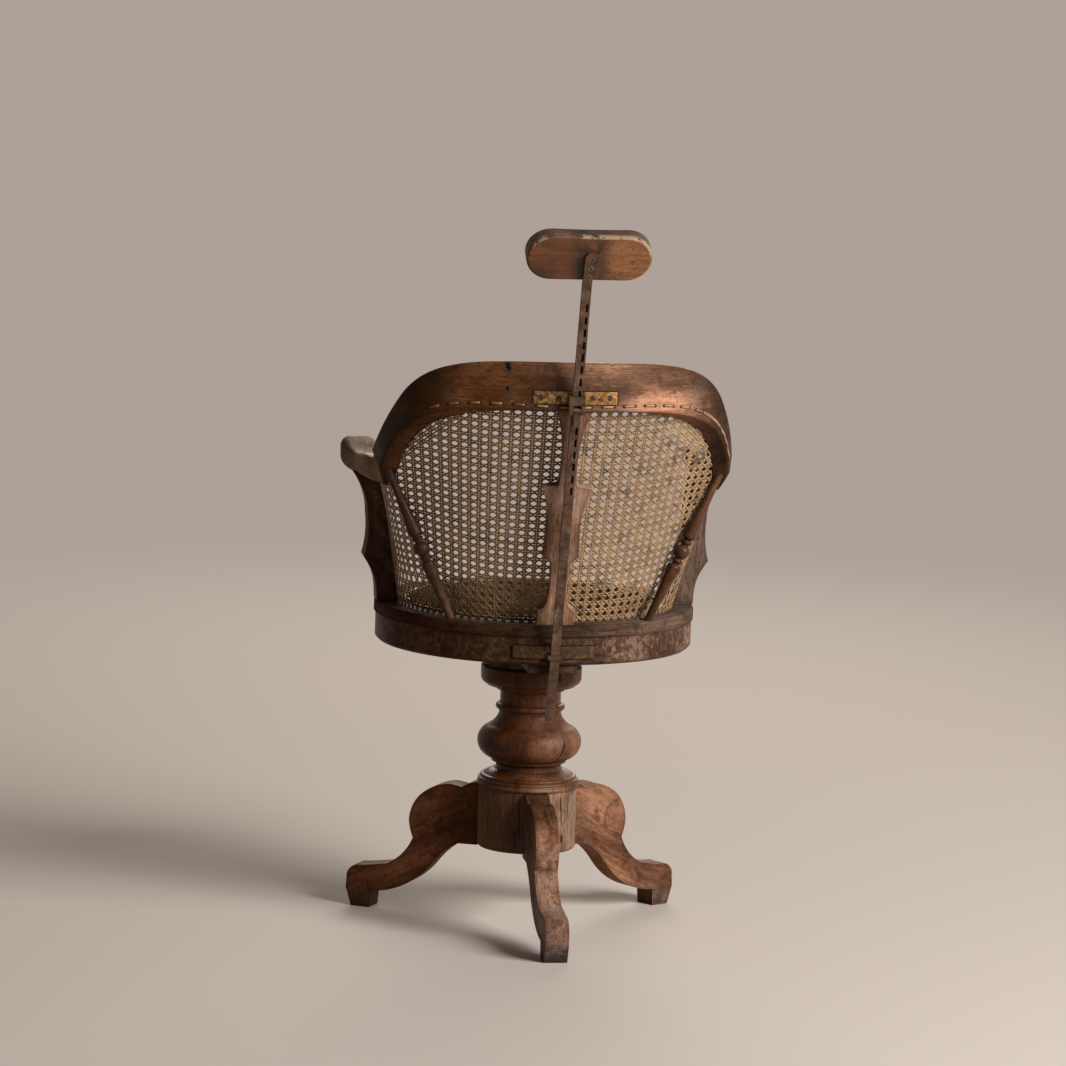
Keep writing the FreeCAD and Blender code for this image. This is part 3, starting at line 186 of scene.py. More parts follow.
class Material:
    """A node material, with short spellings for the nodes used here."""

    def __init__(self, name):
        self.made = bpy.data.materials.new(name)
        self.made.use_nodes = True
        self.tree = self.made.node_tree
        self.tree.nodes.clear()
        self.shader = self.node("BsdfPrincipled")
        self.output = self.node("OutputMaterial", {"Surface": self.shader.outputs["BSDF"]})

    def node(self, kind, inputs=None, **settings):
        made = self.tree.nodes.new("ShaderNode" + kind)
        for key, value in settings.items():
            setattr(made, key, value)
        for key, value in (inputs or {}).items():
            self.feed(made.inputs[key], value)
        return made

    def feed(self, socket, value):
        if isinstance(value, bpy.types.NodeSocket):
            self.tree.links.new(value, socket)
        else:
            socket.default_value = value

    def set(self, **values):
        for key, value in values.items():
            self.feed(self.shader.inputs[key.replace("_", " ")], value)

    def place(self):
        """Position in the axes of the piece's own body."""
        return self.node("TexCoord").outputs["Object"]

    def axes(self):
        """The three parts of that position."""
        return self.node("SeparateXYZ", {"Vector": self.place()}).outputs

    def dot(self, first, second):
        return self.node("VectorMath", {0: first, 1: second}, operation="DOT_PRODUCT").outputs["Value"]

    def facing(self, direction):
        """How squarely the surface faces a direction of its own body."""
        return self.dot(self.node("TexCoord").outputs["Normal"], direction)

    def scaled(self, vector, scale):
        return self.node("Mapping", {"Vector": vector, "Scale": scale}).outputs["Vector"]

    def noise(self, vector, scale, detail=3.0, roughness=0.55, distortion=0.0):
        settings = {"Vector": vector, "Scale": scale, "Detail": detail, "Roughness": roughness}
        settings["Distortion"] = distortion
        return self.node("TexNoise", settings).outputs["Fac"]

    def math(self, operation, first, second=0.0):
        return self.node("Math", {0: first, 1: second}, operation=operation).outputs[0]

    def plus(self, first, second):
        return self.math("ADD", first, second)

    def minus(self, first, second):
        return self.math("SUBTRACT", first, second)

    def times(self, first, second):
        return self.math("MULTIPLY", first, second)

    def larger(self, first, second):
        return self.math("MAXIMUM", first, second)

    def away(self, first, second):
        """Distance between two numbers."""
        return self.math("ABSOLUTE", self.minus(first, second))

    def hypotenuse(self, first, second):
        squares = self.plus(self.math("POWER", first, 2.0), self.math("POWER", second, 2.0))
        return self.math("SQRT", squares)

    def wander(self, value, noise, reach):
        """The value, shifted to and fro by a noise."""
        return self.plus(value, self.times(self.minus(noise, 0.5), reach))

    def span(self, value, low, high, start=0.0, stop=1.0):
        """The value carried smoothly from one range to another."""
        ends = {"Value": value, "From Min": low, "From Max": high, "To Min": start, "To Max": stop}
        return self.node("MapRange", ends, interpolation_type="SMOOTHSTEP").outputs["Result"]

    def mix(self, share, first, second, blend="MIX"):
        made = self.node("Mix", {0: share, 6: first, 7: second}, data_type="RGBA", blend_type=blend)
        return made.outputs[2]

    def shade(self, colour, by):
        return self.mix(1.0, colour, by, "MULTIPLY")

    def ramp(self, share, stops):
        made = self.node("ValToRGB", {"Fac": share})
        bar = made.color_ramp.elements
        while len(bar) < len(stops):
            bar.new(1.0)
        for element, (position, colour) in zip(bar, stops):
            element.position = position
            element.color = colour
        return made.outputs["Color"]

    def rounded(self, radius, samples=6):
        """The normal of the surface with its edges rounded."""
        return self.node("Bevel", {"Radius": radius}, samples=samples).outputs["Normal"]

    def trueness(self, radius):
        """1 on open surfaces, less within a radius of an edge."""
        return self.dot(self.rounded(radius), self.node("NewGeometry").outputs["Normal"])

    def openness(self, reach, samples=6):
        """1 in the open, less in corners."""
        return self.node("AmbientOcclusion", {"Distance": reach}, samples=samples).outputs["AO"]

    def bump(self, height, distance, strength=1.0, normal=None):
        inputs = {"Height": height, "Distance": distance, "Strength": strength}
        if normal is not None:
            inputs["Normal"] = normal
        return self.node("Bump", inputs).outputs["Normal"]


def rgb(red, green, blue):
    return (red, green, blue, 1.0)


def shaded(tone, *shares):
    """A colour with its three parts scaled."""
    return rgb(*(part * share for part, share in zip(tone, shares)))


def along(*direction):
    """Grain that runs straight along a direction: X of the result follows it."""
    turn = Vector(direction).rotation_difference(Vector((1, 0, 0))).to_euler()

    def coordinates(material):
        return material.node("Mapping", {"Vector": material.place(), "Rotation": turn}).outputs["Vector"]
    return coordinates


def bowed(centre_y, radius):
    """Grain that runs round an upright axis."""
    def coordinates(material):
        axes = material.axes()
        depth = material.minus(axes["Y"], centre_y)
        angle = material.math("ARCTAN2", axes["X"], depth)
        unrolled = {"X": material.times(angle, radius), "Y": material.hypotenuse(axes["X"], depth),
                    "Z": axes["Z"]}
        return material.node("CombineXYZ", unrolled).outputs["Vector"]
    return coordinates


def scars(material, marks):
    """Dark splits on the turned column: angle from the back, low and high end, slant and half width."""
    axes = material.axes()
    around = material.math("ARCTAN2", axes["X"], axes["Y"])
    around = material.wander(around, material.noise(material.place(), 45.0, 3.0), 0.06)
    taper = 0.3
    whole = None
    for angle, low, high, slant, width in marks:
        lean = material.times(material.minus(axes["Z"], (low + high) / 2), slant)
        aside = material.away(material.minus(around, math.radians(angle)), lean)
        line = material.span(aside, width, width * taper)
        rise = material.span(axes["Z"], low, low + (high - low) * taper)
        fall = material.span(axes["Z"], high, high - (high - low) * taper)
        mark = material.times(line, material.times(rise, fall))
        whole = mark if whole is None else material.larger(whole, mark)
    return whole


def on_the_back(material):
    """1 where a surface faces the back of the chair, 0 elsewhere."""
    return material.span(material.facing((0.0, 1.0, 0.0)), 0.1, 0.3)


def beside_plate(material, plate):
    """How near a place is to the recess that a plate is let into, seen from the back: a painted shadow line
    round the recess and a halo of dirt.
    """
    low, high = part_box(plate)
    axes = material.axes()
    across = material.away(axes["X"], (low[0] + high[0]) / 2)
    upright = material.away(axes["Z"], (low[2] + high[2]) / 2)
    apart = material.larger(material.minus(across, (high[0] - low[0]) / 2),
                            material.minus(upright, (high[2] - low[2]) / 2))
    line = material.span(apart, 0.0024, 0.0008)
    halo = material.span(apart, 0.030, 0.002, 0.0, 0.45)
    return material.times(on_the_back(material), material.larger(line, halo))


def bruise(material, x, z, radius):
    """A bruised patch on the back of a piece: how far its dull halo and its dark core reach."""
    axes = material.axes()
    apart = material.hypotenuse(material.minus(axes["X"], x), material.minus(axes["Z"], z))
    apart = material.wander(apart, material.noise(material.place(), 160.0, 4.0, 0.7), radius * 3)
    halo = material.span(apart, radius, radius * 0.4, 0.0, 0.75)
    core = material.span(apart, radius * 0.35, radius * 0.15)
    behind = on_the_back(material)
    return material.times(behind, halo), material.times(behind, core)


class Timber:
    """The figure of old timber in a material: its colour, and the noises that later wear follows."""

    def __init__(self, material, place, tone):
        self.material = material
        self.place = place
        self.dark = shaded(tone, 0.22, 0.15, 0.10)
        self.light = shaded(tone, 1.55, 1.65, 1.75)
        self.worn = rgb(0.85 * tone[0] + 0.045, 1.05 * tone[1] + 0.042, 1.2 * tone[2] + 0.038)
        broad = self.streaks(9.0, 6.0, 4.0, 0.6, 0.6)
        self.streak = self.streaks(22.0, 16.0, 6.0, 0.7, 0.3)
        self.pores = self.streaks(16.0, 70.0, 2.0, 0.5)
        self.patch = material.noise(place, 11.0, 5.0, 0.62, 0.5)
        figure = material.plus(material.times(broad, 0.5), material.times(self.streak, 0.5))
        middling = shaded(tone, 0.66, 0.58, 0.5)
        stops = [(0.31, self.dark), (0.42, middling), (0.52, rgb(*tone)), (0.68, self.light)]
        self.colour = material.ramp(figure, stops)
        self.cover(material.span(self.pores, 0.56, 0.7, 0.0, 0.6), self.dark)

    def streaks(self, stretch, *noise):
        """A noise drawn out along the grain."""
        return self.material.noise(self.material.scaled(self.place, (1.0, stretch, stretch)), *noise)

    def cover(self, share, colour):
        self.colour = self.material.mix(share, self.colour, colour)

    def soil(self, grey, stain, smear, flecks, mottle):
        """Grey wear, stains, smoke, specks and scuffs."""
        material = self.material
        here = material.place()
        self.cover(material.span(self.patch, 0.45, 0.66, 0.0, grey), self.worn)
        blot = material.noise(here, 26.0, 7.0, 0.7, 0.8)
        self.cover(material.span(blot, 0.50, 0.64, 0.0, stain), self.dark)
        fume = material.noise(material.scaled(self.place, (0.5, 1.0, 1.0)), 9.0, 4.0, 0.55, 0.4)
        smoke = material.span(fume, 0.34, 0.64, 1.0 - smear, 1.0 + smear * 0.45)
        self.colour = material.shade(self.colour, smoke)
        specks = material.noise(here, 190.0, 4.0, 0.65)
        self.cover(material.span(specks, 0.56, 0.66, 0.0, stain * 0.8), self.dark)
        if mottle:
            spots = material.noise(here, 120.0, 5.0, 0.7, 0.3)
            self.cover(material.span(spots, 0.54, 0.44, 0.0, mottle), self.dark)
            self.cover(material.span(spots, 0.56, 0.68, 0.0, mottle * 0.7), self.light)
        dashes = material.span(self.streaks(4.5, 75.0, 3.0, 0.6, 0.2), 0.52, 0.60, 0.0, flecks)
        self.cover(material.times(dashes, material.span(fume, 0.60, 0.42, 0.35, 1.0)), self.dark)
        scuffs = self.streaks(3.0, 42.0, 5.0, 0.75, 0.3)
        self.cover(material.span(scuffs, 0.60, 0.70, 0.0, grey * 0.7), self.light)

    def tint(self, axis, full, none, tint):
        """A tint that grows along an axis, from none to full."""
        material = self.material
        level = material.wander(material.axes()[axis], self.patch, 0.05)
        tinted = material.shade(self.colour, rgb(*tint))
        self.cover(material.span(level, none, full), tinted)

    def edges(self):
        """Dirt and painted shade in corners, dirt beside edges, and edges rubbed pale."""
        material = self.material
        # Dirt and painted shade: darker where the surroundings close in, in corners and between parts.
        self.cover(material.span(material.openness(0.02), 0.3, 0.9, 0.7, 0.0), CORNER_DIRT_AND_SHADE)
        self.cover(material.span(material.trueness(0.010), 0.995, 0.93, 0.0, 0.5), self.dark)
        rubbed = material.times(material.span(material.trueness(0.004), 0.97, 0.85),
                                material.span(self.patch, 0.42, 0.62))
        self.cover(material.times(rubbed, 0.6), self.light)

    def dim(self, first, last, share):
        """Painted shade: a darkening towards both ends of a piece, left and right."""
        material = self.material
        aside = material.wander(material.math("ABSOLUTE", material.axes()["X"]), self.patch, 0.08)
        self.colour = material.shade(self.colour, material.span(aside, first, last, 1.0, share))


def wood(name, coordinates, tone, grey=0.35, polish=0.45, stain=0.5, sheen=0.1, smear=0.5, flecks=0.6,
         mottle=0.0, tints=(), dim_ends=None, bruises=(), plate=None, marks=()):
    """Old oiled timber: streaked grain, open pores, grey wear, dirt and painted shade in corners, and pale
    worn edges.
    """
    material = Material(name)
    timber = Timber(material, coordinates(material), tone)
    timber.soil(grey, stain, smear, flecks, mottle)
    for tint in tints:
        timber.tint(*tint)
    timber.edges()
    if dim_ends:
        timber.dim(*dim_ends)
    for spot in bruises:
        halo, core = bruise(material, *spot)
        timber.cover(halo, BRUISE_HALO)
        timber.cover(core, BRUISE_CORE)
    # A painted shadow line round the plate's recess, and a halo of dirt beside it.
    if plate:
        timber.cover(beside_plate(material, plate), RECESS_SHADOW_AND_DIRT)
    relief = material.plus(material.times(timber.streak, 0.6), material.times(timber.pores, -0.5))
    if marks:
        split = scars(material, marks)
        timber.cover(split, SPLIT_BLACK)
        relief = material.minus(relief, material.times(split, 2.0))
    gloss = material.plus(material.span(timber.patch, 0.35, 0.7, polish - 0.1, polish + 0.22),
                          material.times(timber.streak, 0.08))
    material.set(Base_Color=timber.colour, Roughness=gloss, Specular_IOR_Level=sheen,
                 Normal=material.bump(relief, 0.0006, 0.55, material.rounded(0.0018)))
    return material.made


def iron(name, tone, shine):
    """Wrought iron gone brown with rust, rubbed bare in places."""
    material = Material(name)
    place = material.place()
    rust = material.noise(place, 60.0, 6.0, 0.7, 0.6)
    pits = material.noise(place, 420.0, 3.0, 0.6)
    dark = shaded(tone, 0.3, 0.3, 0.3)
    colour = material.ramp(rust, [(0.34, dark), (0.5, rgb(*tone)), (0.66, RUST)])
    rubbed = material.span(material.noise(place, 34.0, 5.0, 0.65), 0.52, 0.68, 0.0, 0.75)
    colour = material.mix(rubbed, colour, rgb(*shine))
    colour = material.mix(material.span(pits, 0.55, 0.75, 0.0, 0.6), colour, dark)
    # Dirt and painted shade: darker in the iron's corners and where it meets other parts.
    colour = material.mix(material.span(material.openness(0.008), 0.3, 0.95, 0.6, 0.0), colour, IRON_DIRT_AND_SHADE)
    relief = material.bump(material.plus(rust, pits), 0.0004, 0.6, material.rounded(0.0008, 4))
    material.set(Base_Color=colour, Metallic=0.35, Normal=relief,
                 Roughness=material.span(rust, 0.3, 0.7, 0.42, 0.72))
    return material.made


def brass(name, bright):
    """Lacquer-less brass, bright where it is rubbed and brown where it isn't."""
    material = Material(name)
    place = material.place()
    tarnish = material.noise(place, 95.0, 6.0, 0.72, 0.8)
    specks = material.noise(place, 500.0, 3.0, 0.6)
    dull = shaded((0.33, 0.165, 0.055), bright, bright, bright)
    clean = shaded((0.76, 0.47, 0.20), bright, bright, bright)
    colour = material.ramp(tarnish, [(0.38, BRASS_TARNISH), (0.52, dull), (0.66, clean)])
    colour = material.mix(material.span(specks, 0.55, 0.72, 0.0, 0.8), colour, BRASS_SPECK)
    relief = material.bump(specks, 0.0003, 0.5, material.rounded(0.0008, 4))
    material.set(Base_Color=colour, Metallic=0.75, Normal=relief,
                 Roughness=material.span(tarnish, 0.35, 0.65, 0.62, 0.36))
    return material.made


def cane(name, tone, dark, sheen=0.5, polish=0.38):
    """Split cane: a glossy skin, straw to brown, with darker worn lengths."""
    material = Material(name)
    place = material.place()
    length = material.noise(place, 48.0, 4.0, 0.6, 0.4)
    fibre = material.noise(place, 700.0, 3.0, 0.6)
    age = material.noise(place, 9.0, 3.0, 0.6)
    bright = shaded(tone, 1.35, 1.35, 1.35)
    colour = material.ramp(length, [(0.30, rgb(*dark)), (0.46, rgb(*tone)), (0.68, bright)])
    colour = material.mix(material.span(age, 0.42, 0.66, 0.0, 0.45), colour, AGED_CANE)
    colour = material.mix(material.span(fibre, 0.55, 0.8, 0.0, 0.5), colour, rgb(*dark))
    # Dirt and painted shade: darker where strands cross and close in on each other.
    hidden = material.span(material.openness(0.003, 4), 0.25, 0.9, 0.7, 0.0)
    colour = material.mix(hidden, colour, CANE_DIRT_AND_SHADE)
    material.set(Base_Color=colour, Roughness=material.span(length, 0.3, 0.7, polish, polish + 0.17),
                 Specular_IOR_Level=sheen, Normal=material.bump(fibre, 0.0002, 0.4))
    return material.made


def headrest_wood():
    """The headrest's bare board: red-brown towards +X and orange towards -X, painted shade and painted
    light, dirty round its bar, chipped along its upper edge.
    """
    material = Material("headrest_wood")
    place = material.place()
    across = material.axes()["X"]
    corners = [corner.co for corner in nodes["headrest_board"].data.vertices]
    lowest = min(HEADREST_UP.dot(corner) for corner in corners)
    hindmost = max(HEADREST_BACK.dot(corner) for corner in corners)
    rise = material.minus(material.dot(place, HEADREST_UP), lowest)
    grain = material.noise(material.scaled(place, (1.0, 12.0, 12.0)), 14.0, 6.0, 0.7, 0.4)
    cloud = material.noise(place, 17.0, 5.0, 0.6, 0.4)
    ruddy = material.ramp(grain, [(0.3, rgb(0.070, 0.021, 0.006)), (0.5, rgb(0.145, 0.050, 0.015)),
                                  (0.7, rgb(0.230, 0.090, 0.032))])
    orange = material.ramp(grain, [(0.3, rgb(0.175, 0.068, 0.024)), (0.5, rgb(0.300, 0.128, 0.051)),
                                   (0.7, rgb(0.450, 0.225, 0.105))])
    # Painted shade and light: the shaded red-brown towards +X, the lit orange towards -X.
    drift = material.wander(across, cloud, 0.06)
    colour = material.mix(material.span(drift, 0.030, -0.045), ruddy, orange)
    stain = material.noise(material.scaled(place, (1.0, 2.2, 2.2)), 24.0, 6.0, 0.7, 0.6)
    colour = material.mix(material.span(stain, 0.52, 0.66, 0.0, 0.75), colour, rgb(0.060, 0.035, 0.022))
    beside_bar = material.span(material.math("ABSOLUTE", across), 0.036, 0.010)
    low_end = material.times(material.span(across, 0.030, 0.075), material.span(rise, 0.040, 0.008))
    dirt = material.times(material.larger(beside_bar, low_end),
                          material.span(cloud, 0.40, 0.58, 0.25, 0.95))
    colour = material.mix(dirt, colour, rgb(0.034, 0.017, 0.010))
    specks = material.noise(place, 240.0, 3.0, 0.6)
    colour = material.mix(material.span(specks, 0.58, 0.66, 0.0, 0.8), colour, rgb(0.05, 0.024, 0.012))
    flat = material.math("ABSOLUTE", material.facing(HEADREST_BACK))
    rim = material.ramp(cloud, [(0.35, rgb(0.028, 0.015, 0.009)), (0.62, rgb(0.120, 0.068, 0.042))])
    colour = material.mix(material.span(flat, 0.9, 0.6), colour, rim)
    depth = material.dot(place, HEADREST_BACK)
    brink = material.times(material.span(depth, hindmost - 0.009, hindmost - 0.004),
                           material.span(flat, 0.995, 0.96))
    worn_end = material.span(across, 0.02, -0.01, 0.52, 0.41)
    chipped = material.minus(material.noise(place, 55.0, 5.0, 0.75), worn_end)
    chips = material.times(brink, material.span(chipped, 0.0, 0.05))
    chips = material.times(chips, material.span(rise, 0.030, 0.045))
    colour = material.mix(material.times(chips, 0.75), colour, rgb(0.42, 0.30, 0.21))
    material.set(Base_Color=colour, Roughness=material.span(cloud, 0.35, 0.7, 0.45, 0.62),
                 Normal=material.bump(material.plus(grain, specks), 0.0005, 0.5))
    return material.made


def plain_dark(name):
    """Painted shade with some grime: the dark inside of a drilled hole."""
    material = Material(name)
    grime = material.noise(material.place(), 300.0, 3.0)
    colour = material.ramp(grime, [(0.3, rgb(0.006, 0.004, 0.003)), (0.7, rgb(0.02, 0.013, 0.009))])
    material.set(Base_Color=colour, Roughness=0.9)
    return material.made


def mesh_piece(name, points, faces, material, body, slot):
    """A piece of the scene made from points and faces, riding on a body."""
    mesh = bpy.data.meshes.new(name)
    mesh.from_pydata(points, [], faces)
    mesh.update()
    piece = bpy.data.objects.new(name, mesh)
    scene.collection.objects.link(piece)
    mesh.materials.append(material)
    for face in mesh.polygons:
        face.use_smooth = True
    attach(piece, body)
    return piece


def thicken(piece, thickness):
    """Give a sheet of strands a thickness, half to each side."""
    shell = piece.modifiers.new("thickness", "SOLIDIFY")
    shell.thickness = thickness
    shell.offset = 0.0
    return piece


def underside(y):
    """Height of the lower edge of the rail, or of the arm, at a distance behind the column."""
    if y <= ARM_JOINT_Y:
        return ARM_UNDER
    knee = RAIL_LOW - KNEE_DROP
    if y <= KNEE_Y:
        return ARM_UNDER + (y - ARM_JOINT_Y) / (KNEE_Y - ARM_JOINT_Y) * (knee - ARM_UNDER)
    share = (y - KNEE_Y) / (RAIL_BACK - KNEE_Y)
    return RAIL_LOW - KNEE_DROP * (1 - math.sin(share * math.pi / 2) ** 0.8)


def ruling(share):
    """Foot and head of a straight line of the caned back, from the middle (0) to a post (1)."""
    widest = math.pi / 2 - math.asin(CANE_FRONT_Y / CANE_FOOT_RADIUS)
    foot_radius = CANE_FOOT_RADIUS - CANE_THICKNESS / 2
    head_radius = CANE_HEAD_RADIUS - CANE_THICKNESS / 2
    side = math.copysign(1.0, share)
    angle = abs(share) * widest
    foot = Vector((side * foot_radius * math.sin(angle), foot_radius * math.cos(angle), SEAT_TOP))
    quarter = CANE_HEAD_RADIUS * math.pi / 2
    run = RAIL_SETBACK - CANE_FRONT_Y
    along_head = abs(share) * (quarter + run)
    if along_head < quarter:
        turn = along_head / CANE_HEAD_RADIUS
        x = head_radius * math.sin(turn)
        y = RAIL_SETBACK + head_radius * math.cos(turn)
    else:
        part = (along_head - quarter) / run
        x = head_radius - part * (CANE_HEAD_RADIUS - CANE_FRONT_X)
        y = RAIL_SETBACK - part * run
    return foot, Vector((side * x, y, underside(y)))


class BackPanel:
    """The surface of the caned back, met by rays from inside the tub."""

    def __init__(self):
        wide, tall = 120, 10
        corners = []
        for step in range(-wide // 2, wide // 2 + 1):
            foot, head = ruling(step * 2 / wide)
            line = (head - foot).normalized() * CANE_BEDDING
            for level in range(tall + 1):
                corners.append((foot - line).lerp(head + line, level / tall))
        faces = []
        for step in range(wide):
            for level in range(tall):
                first = step * (tall + 1) + level
                faces.append((first, first + 1, first + tall + 2, first + tall + 1))
        self.tree = BVHTree.FromPolygons(corners, faces)

    def at(self, column, row):
        """Point and outward normal at a place of the weave's lattice, or None beyond the panel."""
        base = SEAT_TOP + row * ROW_PITCH
        rise = (base - SEAT_TOP) / (RAIL_LOW - SEAT_TOP)
        pitch = COLUMN_PITCH_LOW + (COLUMN_PITCH_HIGH - COLUMN_PITCH_LOW) * rise
        lift = ROW_LIFT_LOW + (ROW_LIFT_HIGH - ROW_LIFT_LOW) * rise
        sideways = column * pitch
        radius = CANE_FOOT_RADIUS + (CANE_HEAD_RADIUS - CANE_FOOT_RADIUS) * rise
        arch = min(ROW_LIFT_MOST, (sideways / ROW_LIFT_REACH) ** 2)
        height = base + lift * arch * min(1.0, max(0.0, row / ROW_LIFT_ROWS))
        angle = sideways / radius
        outward = Vector((math.sin(angle), math.cos(angle), 0))
        start = Vector((0, RAIL_SETBACK * rise, height))
        hit, normal, index, distance = self.tree.ray_cast(start, outward, 0.5)
        if hit is None:
            return None
        return hit, normal if normal.dot(outward) > 0 else -normal


class SeatPanel:
    """The flat caned seat."""

    def at(self, column, row):
        """Point and normal at a place of the weave's lattice, or None beyond the panel."""
        pitch = COLUMN_PITCH_MEAN
        spot = Vector((column * pitch, row * pitch, SEAT_TOP + CANE_THICKNESS / 2))
        if math.hypot(spot.x, spot.y) > SEAT_BORE + SEAT_CANE_LAP:
            return None
        return spot, Vector((0, 0, 1))


class Weave:
    """Flat strands laid over a panel's lattice."""

    def __init__(self, panel):
        self.panel = panel
        self.points = []
        self.faces = []

    def strand(self, start, step, count, width, offset, wave, phase):
        """A ribbon along lattice steps, swaying in and out of the panel as it passes the others."""
        run = []
        for index in range(count):
            column = start[0] + step[0] * index
            row = start[1] + step[1] * index
            found = self.panel.at(column, row)
            if found is None:
                self.ribbon(run, width)
                run = []
                continue
            spot, normal = found
            travelled = index * max(abs(step[0]), abs(step[1]))
            sway = offset + wave * math.sin(phase + math.pi * 2 * travelled)
            run.append((spot + normal * sway, normal))
        self.ribbon(run, width)

    def ribbon(self, run, width):
        """A flat strip along points with their normals, crowned along its middle."""
        if len(run) < 3:
            return
        first = len(self.points)
        for index, (spot, normal) in enumerate(run):
            before = run[max(index - 1, 0)][0]
            after = run[min(index + 1, len(run) - 1)][0]
            side = (after - before).cross(normal).normalized() * (width / 2)
            self.points.extend((spot - side, spot + normal * (width * STRAND_CROWN), spot + side))
        for index in range(len(run) - 1):
            low = first + 3 * index
            self.faces.append((low, low + 1, low + 4, low + 3))
            self.faces.append((low + 1, low + 2, low + 5, low + 4))

    def six_way(self, columns, rows, column_pitch, row_pitch):
        """Paired uprights, paired cross strands and both diagonals."""
        tall = int((rows[1] - rows[0]) / LATTICE_STEP) + 1
        wide = int((columns[1] - columns[0]) / LATTICE_STEP) + 1
        for column in range(columns[0], columns[1] + 1):
            for side in (-1, 1):
                place = column + 0.5 + side * PAIR_SPACING / 2 / column_pitch
                self.strand((place, rows[0]), (0, LATTICE_STEP), tall, STRAND_WIDTH, side * UPRIGHT_SET,
                            0.0, 0.0)
        for row in range(rows[0], rows[1] + 1):
            for side in (-1, 1):
                place = row + 0.5 + side * PAIR_SPACING / 2 / row_pitch
                self.strand((columns[0], place), (LATTICE_STEP, 0), wide, STRAND_WIDTH, 0.0, CROSS_SWAY,
                            side * math.pi / 2)
        reach = rows[1] - rows[0]
        for slope in (-1, 1):
            for begin in range(columns[0] - reach, columns[1] + reach + 1):
                start = (begin, rows[0] + 0.5)
                step = (slope * LATTICE_STEP, LATTICE_STEP)
                self.strand(start, step, tall, DIAGONAL_WIDTH, DIAGONAL_LIFT, DIAGONAL_SWAY,
                            slope * math.pi / 2)


def weave_back(material):
    """The woven back, in place of the solid panel."""
    weave = Weave(BackPanel())
    weave.six_way(BACK_COLUMNS, BACK_ROWS, COLUMN_PITCH_MEAN, ROW_PITCH)
    piece = mesh_piece("back_weave", weave.points, weave.faces, material, "seat", "cane")
    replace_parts(thicken(piece, STRAND_THICKNESS), "back_cane")


def weave_seat(material):
    """The woven seat, in place of the solid panel."""
    weave = Weave(SeatPanel())
    weave.six_way(SEAT_CELLS, SEAT_CELLS, COLUMN_PITCH_MEAN, COLUMN_PITCH_MEAN)
    piece = mesh_piece("seat_weave", weave.points, weave.faces, material, "seat", "cane")
    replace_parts(thicken(piece, STRAND_THICKNESS), "seat_cane")


def flat_tube(points, normals, half_width, half_height, sides=8):
    """Corners and faces of a flattened tube along points, with its flat towards the normals."""
    corners = []
    faces = []
    for index, (spot, normal) in enumerate(zip(points, normals)):
        ahead = points[min(index + 1, len(points) - 1)] - points[max(index - 1, 0)]
        side = ahead.cross(normal).normalized()
        for step in range(sides):
            angle = 2 * math.pi * step / sides
            across = side * (half_width * math.cos(angle))
            corners.append(spot + across + normal * (half_height * math.sin(angle)))
    for index in range(len(points) - 1):
        for step in range(sides):
            low = index * sides
            after = (step + 1) % sides
            faces.append((low + step, low + after, low + sides + after, low + sides + step))
    faces.append(tuple(range(sides - 1, -1, -1)))
    faces.append(tuple(range(len(corners) - sides, len(corners))))
    return corners, faces


def joined(parts):
    """Several (corners, faces) as one."""
    corners = []
    faces = []
    for part_corners, part_faces in parts:
        first = len(corners)
        corners.extend(part_corners)
        faces.extend(tuple(first + index for index in face) for face in part_faces)
    return corners, faces


def rail_edge_height(y):
    """Height of the crest rail's lower edge on its outer face, drawn as two arcs."""
    behind = y > KNEE_Y
    centre_y, centre_z, radius = BACK_ARC if behind else SIDE_ARC
    rise = math.sqrt(max(0.0, radius ** 2 - (y - centre_y) ** 2))
    return centre_z + rise if behind else centre_z - rise


def on_rail(angle):
    """Point and normal on the crest rail's outer face, a little above its lower edge, more at the sides."""
    normal = Vector((math.sin(angle), math.cos(angle), 0))
    spot = Vector((0, RAIL_SETBACK, 0)) + normal * RAIL_RADIUS
    climb = LOOP_CLIMB * min(1.0, abs(angle) / LOOP_CLIMB_ANGLE)
    spot.z = rail_edge_height(spot.y) + LOOP_LIFT + climb
    return spot, normal


def add_loops(material, hole_material):
    """Loops of cane that hold the back to the rail, each between two holes, and bare holes at the ends."""
    loops = []
    holes = []
    step = math.radians(0.5)
    for side in (-1, 1):
        travelled = 0.0
        due = LOOP_START
        angle = 0.0
        before = on_rail(0.0)[0]
        while angle < HOLES_END:
            angle += step
            spot = on_rail(side * angle)[0]
            travelled += (spot - before).length
            before = spot
            if travelled < due:
                continue
            due += LOOP_PITCH
            reach = LOOP_LENGTH / (travelled / angle)
            for end in (-0.5, 0.5):
                holes.append(hole_at(*on_rail(side * (angle + end * reach))))
            if angle < LOOPS_END:
                loops.append(loop_at(side, angle, reach))
    loops.append(edge_strip(-1, *STRIP_ENDS))
    mesh_piece("rail_loops", *joined(loops), material, "seat", "cane")
    mesh_piece("rail_holes", *joined(holes), hole_material, "seat", "wood")


def edge_strip(side, first, last):
    """A length of cane along the rail's outer face, where the loops run into one another."""
    points = []
    normals = []
    count = 24
    for step in range(count + 1):
        spot, normal = on_rail(side * math.radians(first + (last - first) * step / count))
        points.append(spot + normal * (STRIP_STAND + STRIP_SWAY * math.sin(step * STRIP_SWAY_TURN)))
        normals.append(normal)
    return flat_tube(points, normals, *STRIP_HALF)


